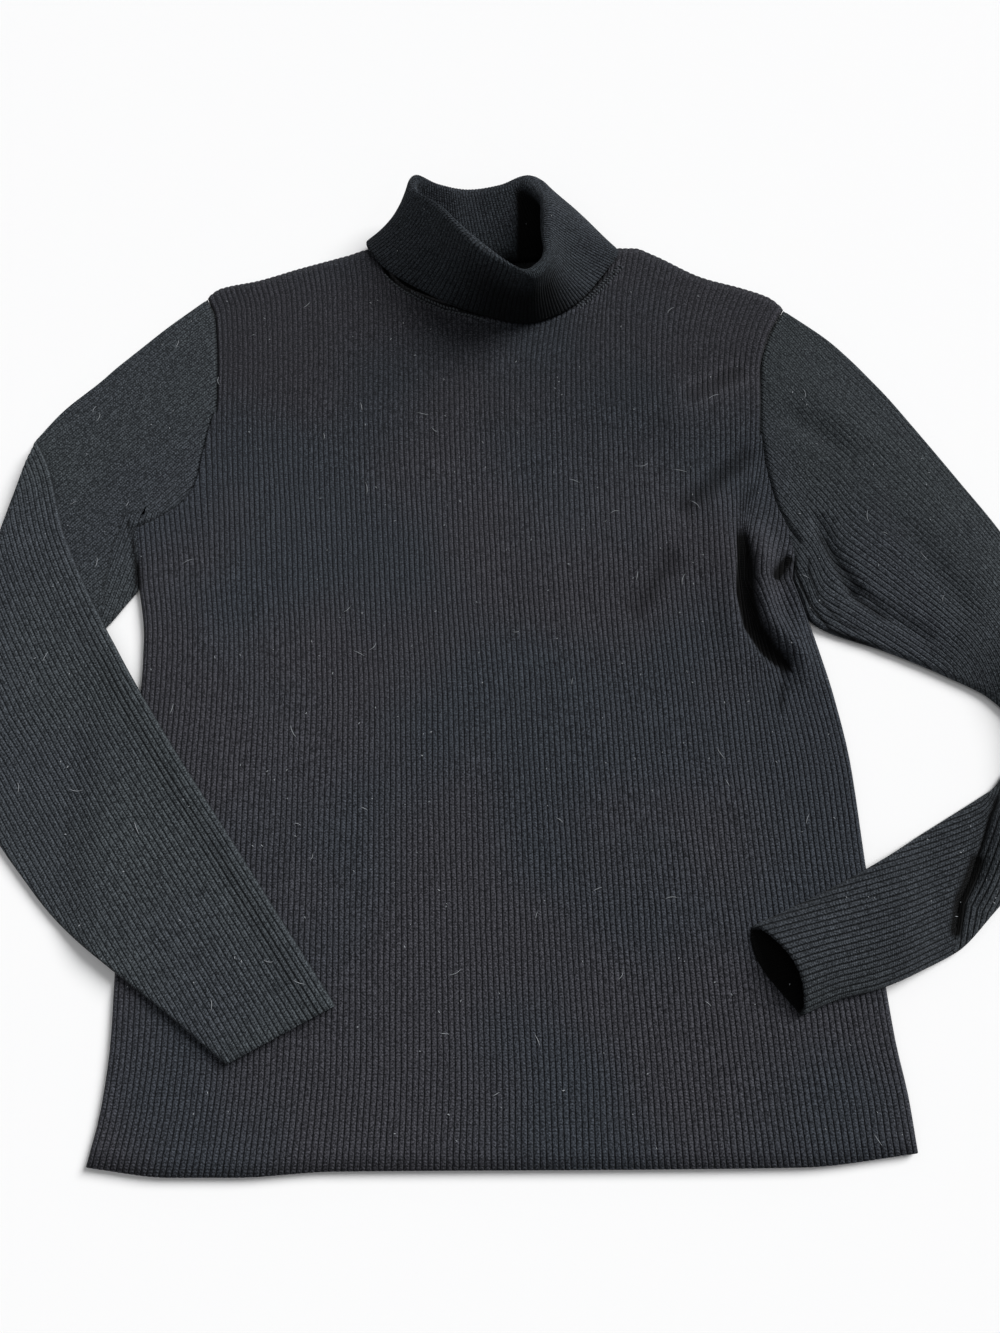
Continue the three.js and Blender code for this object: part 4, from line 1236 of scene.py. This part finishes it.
def stitching():
    """Pairs of short slanted stitches that follow the neck seam."""
    strips = []
    for path in NECK_STITCHING:
        path = np.array(path, float)
        ends = np.r_[0, np.cumsum(np.hypot(*np.diff(path, axis=0).T))]
        for s in np.arange(1, ends[-1] - 1, STITCH_STEP):
            for row, lean in ((0, STITCH_LEAN), (1, -STITCH_LEAN)):
                start, end = (np.array([np.interp(s + d, ends, c) for c in path.T]) for d in (-0.5, 0.5))
                way = (end - start) / np.hypot(*(end - start))
                away = np.array([way[1], -way[0]])
                middle = start + away * STITCH_APART * row
                reach = (way + away * lean) * STITCH_REACH
                x, y = zip(middle - reach, middle, middle + reach)
                z = on_top(*middle)
                if z is not None and z < STITCH_TOP:
                    strips.append((np.stack([x, y, (z, z + STITCH_RISE, z)], 1), STITCH_RADII))
    return strips


STITCH_YARN = surface("stitch_yarn", Base_Color=linear("#4a4e52"), Roughness=0.9, Specular_IOR_Level=0.1)[0]
joined("neck_stitching", STITCH_YARN, stitching())

for piece, node_name, slot in (
    (front, "front", "body_knit"), (back, "back", "body_knit"), (left, "sleeve_left", "sleeve_knit"),
    (right, "sleeve_right", "sleeve_knit"), (roll, "collar", "collar_knit"),
):
    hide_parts(node_name)
    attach(piece, "root")


def floor(material):
    """A flat square that the sweater lies on, a hair below it."""
    half, low = 3.0, -0.0003
    mesh = bpy.data.meshes.new("floor")
    corners = [(-half, -half, low), (half, -half, low), (half, half, low), (-half, half, low)]
    mesh.from_pydata(corners, [], [(0, 1, 2, 3)])
    mesh.materials.append(material)
    in_scene("floor", mesh)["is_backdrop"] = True


FLOOR_PAPER = surface("floor_paper", Base_Color=linear("#f4f4f4"), Roughness=0.9, Specular_IOR_Level=0.1)[0]
floor(FLOOR_PAPER)


def sun(name, direction, strength, angle):
    """A sun that shines from a direction, with shadows as soft as its angle is wide."""
    data = bpy.data.lights.new(name, "SUN")
    data.energy = strength
    data.angle = math.radians(angle)
    in_scene(name, data).rotation_euler = Vector(direction).to_track_quat("Z", "Y").to_euler()


sun("window", (0.85, 0.65, 0.78), 4.0, 30)
sun("ceiling", (-0.2, 0.15, 1.0), 0.55, 80)
world = bpy.data.worlds.new("room")
world.use_nodes = True
world.node_tree.nodes["Background"].inputs[0].default_value = linear("#fbfcff")
world.node_tree.nodes["Background"].inputs[1].default_value = 0.16
bpy.context.scene.world = world
bpy.context.scene.view_settings.view_transform = "Standard"

# Camera: the photo's distance, tilt and focal length
PICTURE_WIDE = 1000
FOCAL_PX = 1001
CAMERA_Y = 112
CAMERA_HIGH = 598
CAMERA_TILT = 16
camera_data = bpy.data.cameras.new("camera")
camera_data.sensor_fit = "HORIZONTAL"
camera_data.sensor_width = 36
camera_data.lens = 36 * FOCAL_PX / PICTURE_WIDE
camera_data.clip_start = 0.01
camera = in_scene("camera", camera_data)
camera.location = ((np.array([0, CAMERA_Y, CAMERA_HIGH]) + SHIFT) * MM).tolist()
camera.rotation_euler = (math.radians(CAMERA_TILT), 0, 0)
bpy.context.scene.camera = camera

({name: [list(corner) for corner in box]
           for name, box in (("cad", CAD_BOX), ("visual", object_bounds()))})
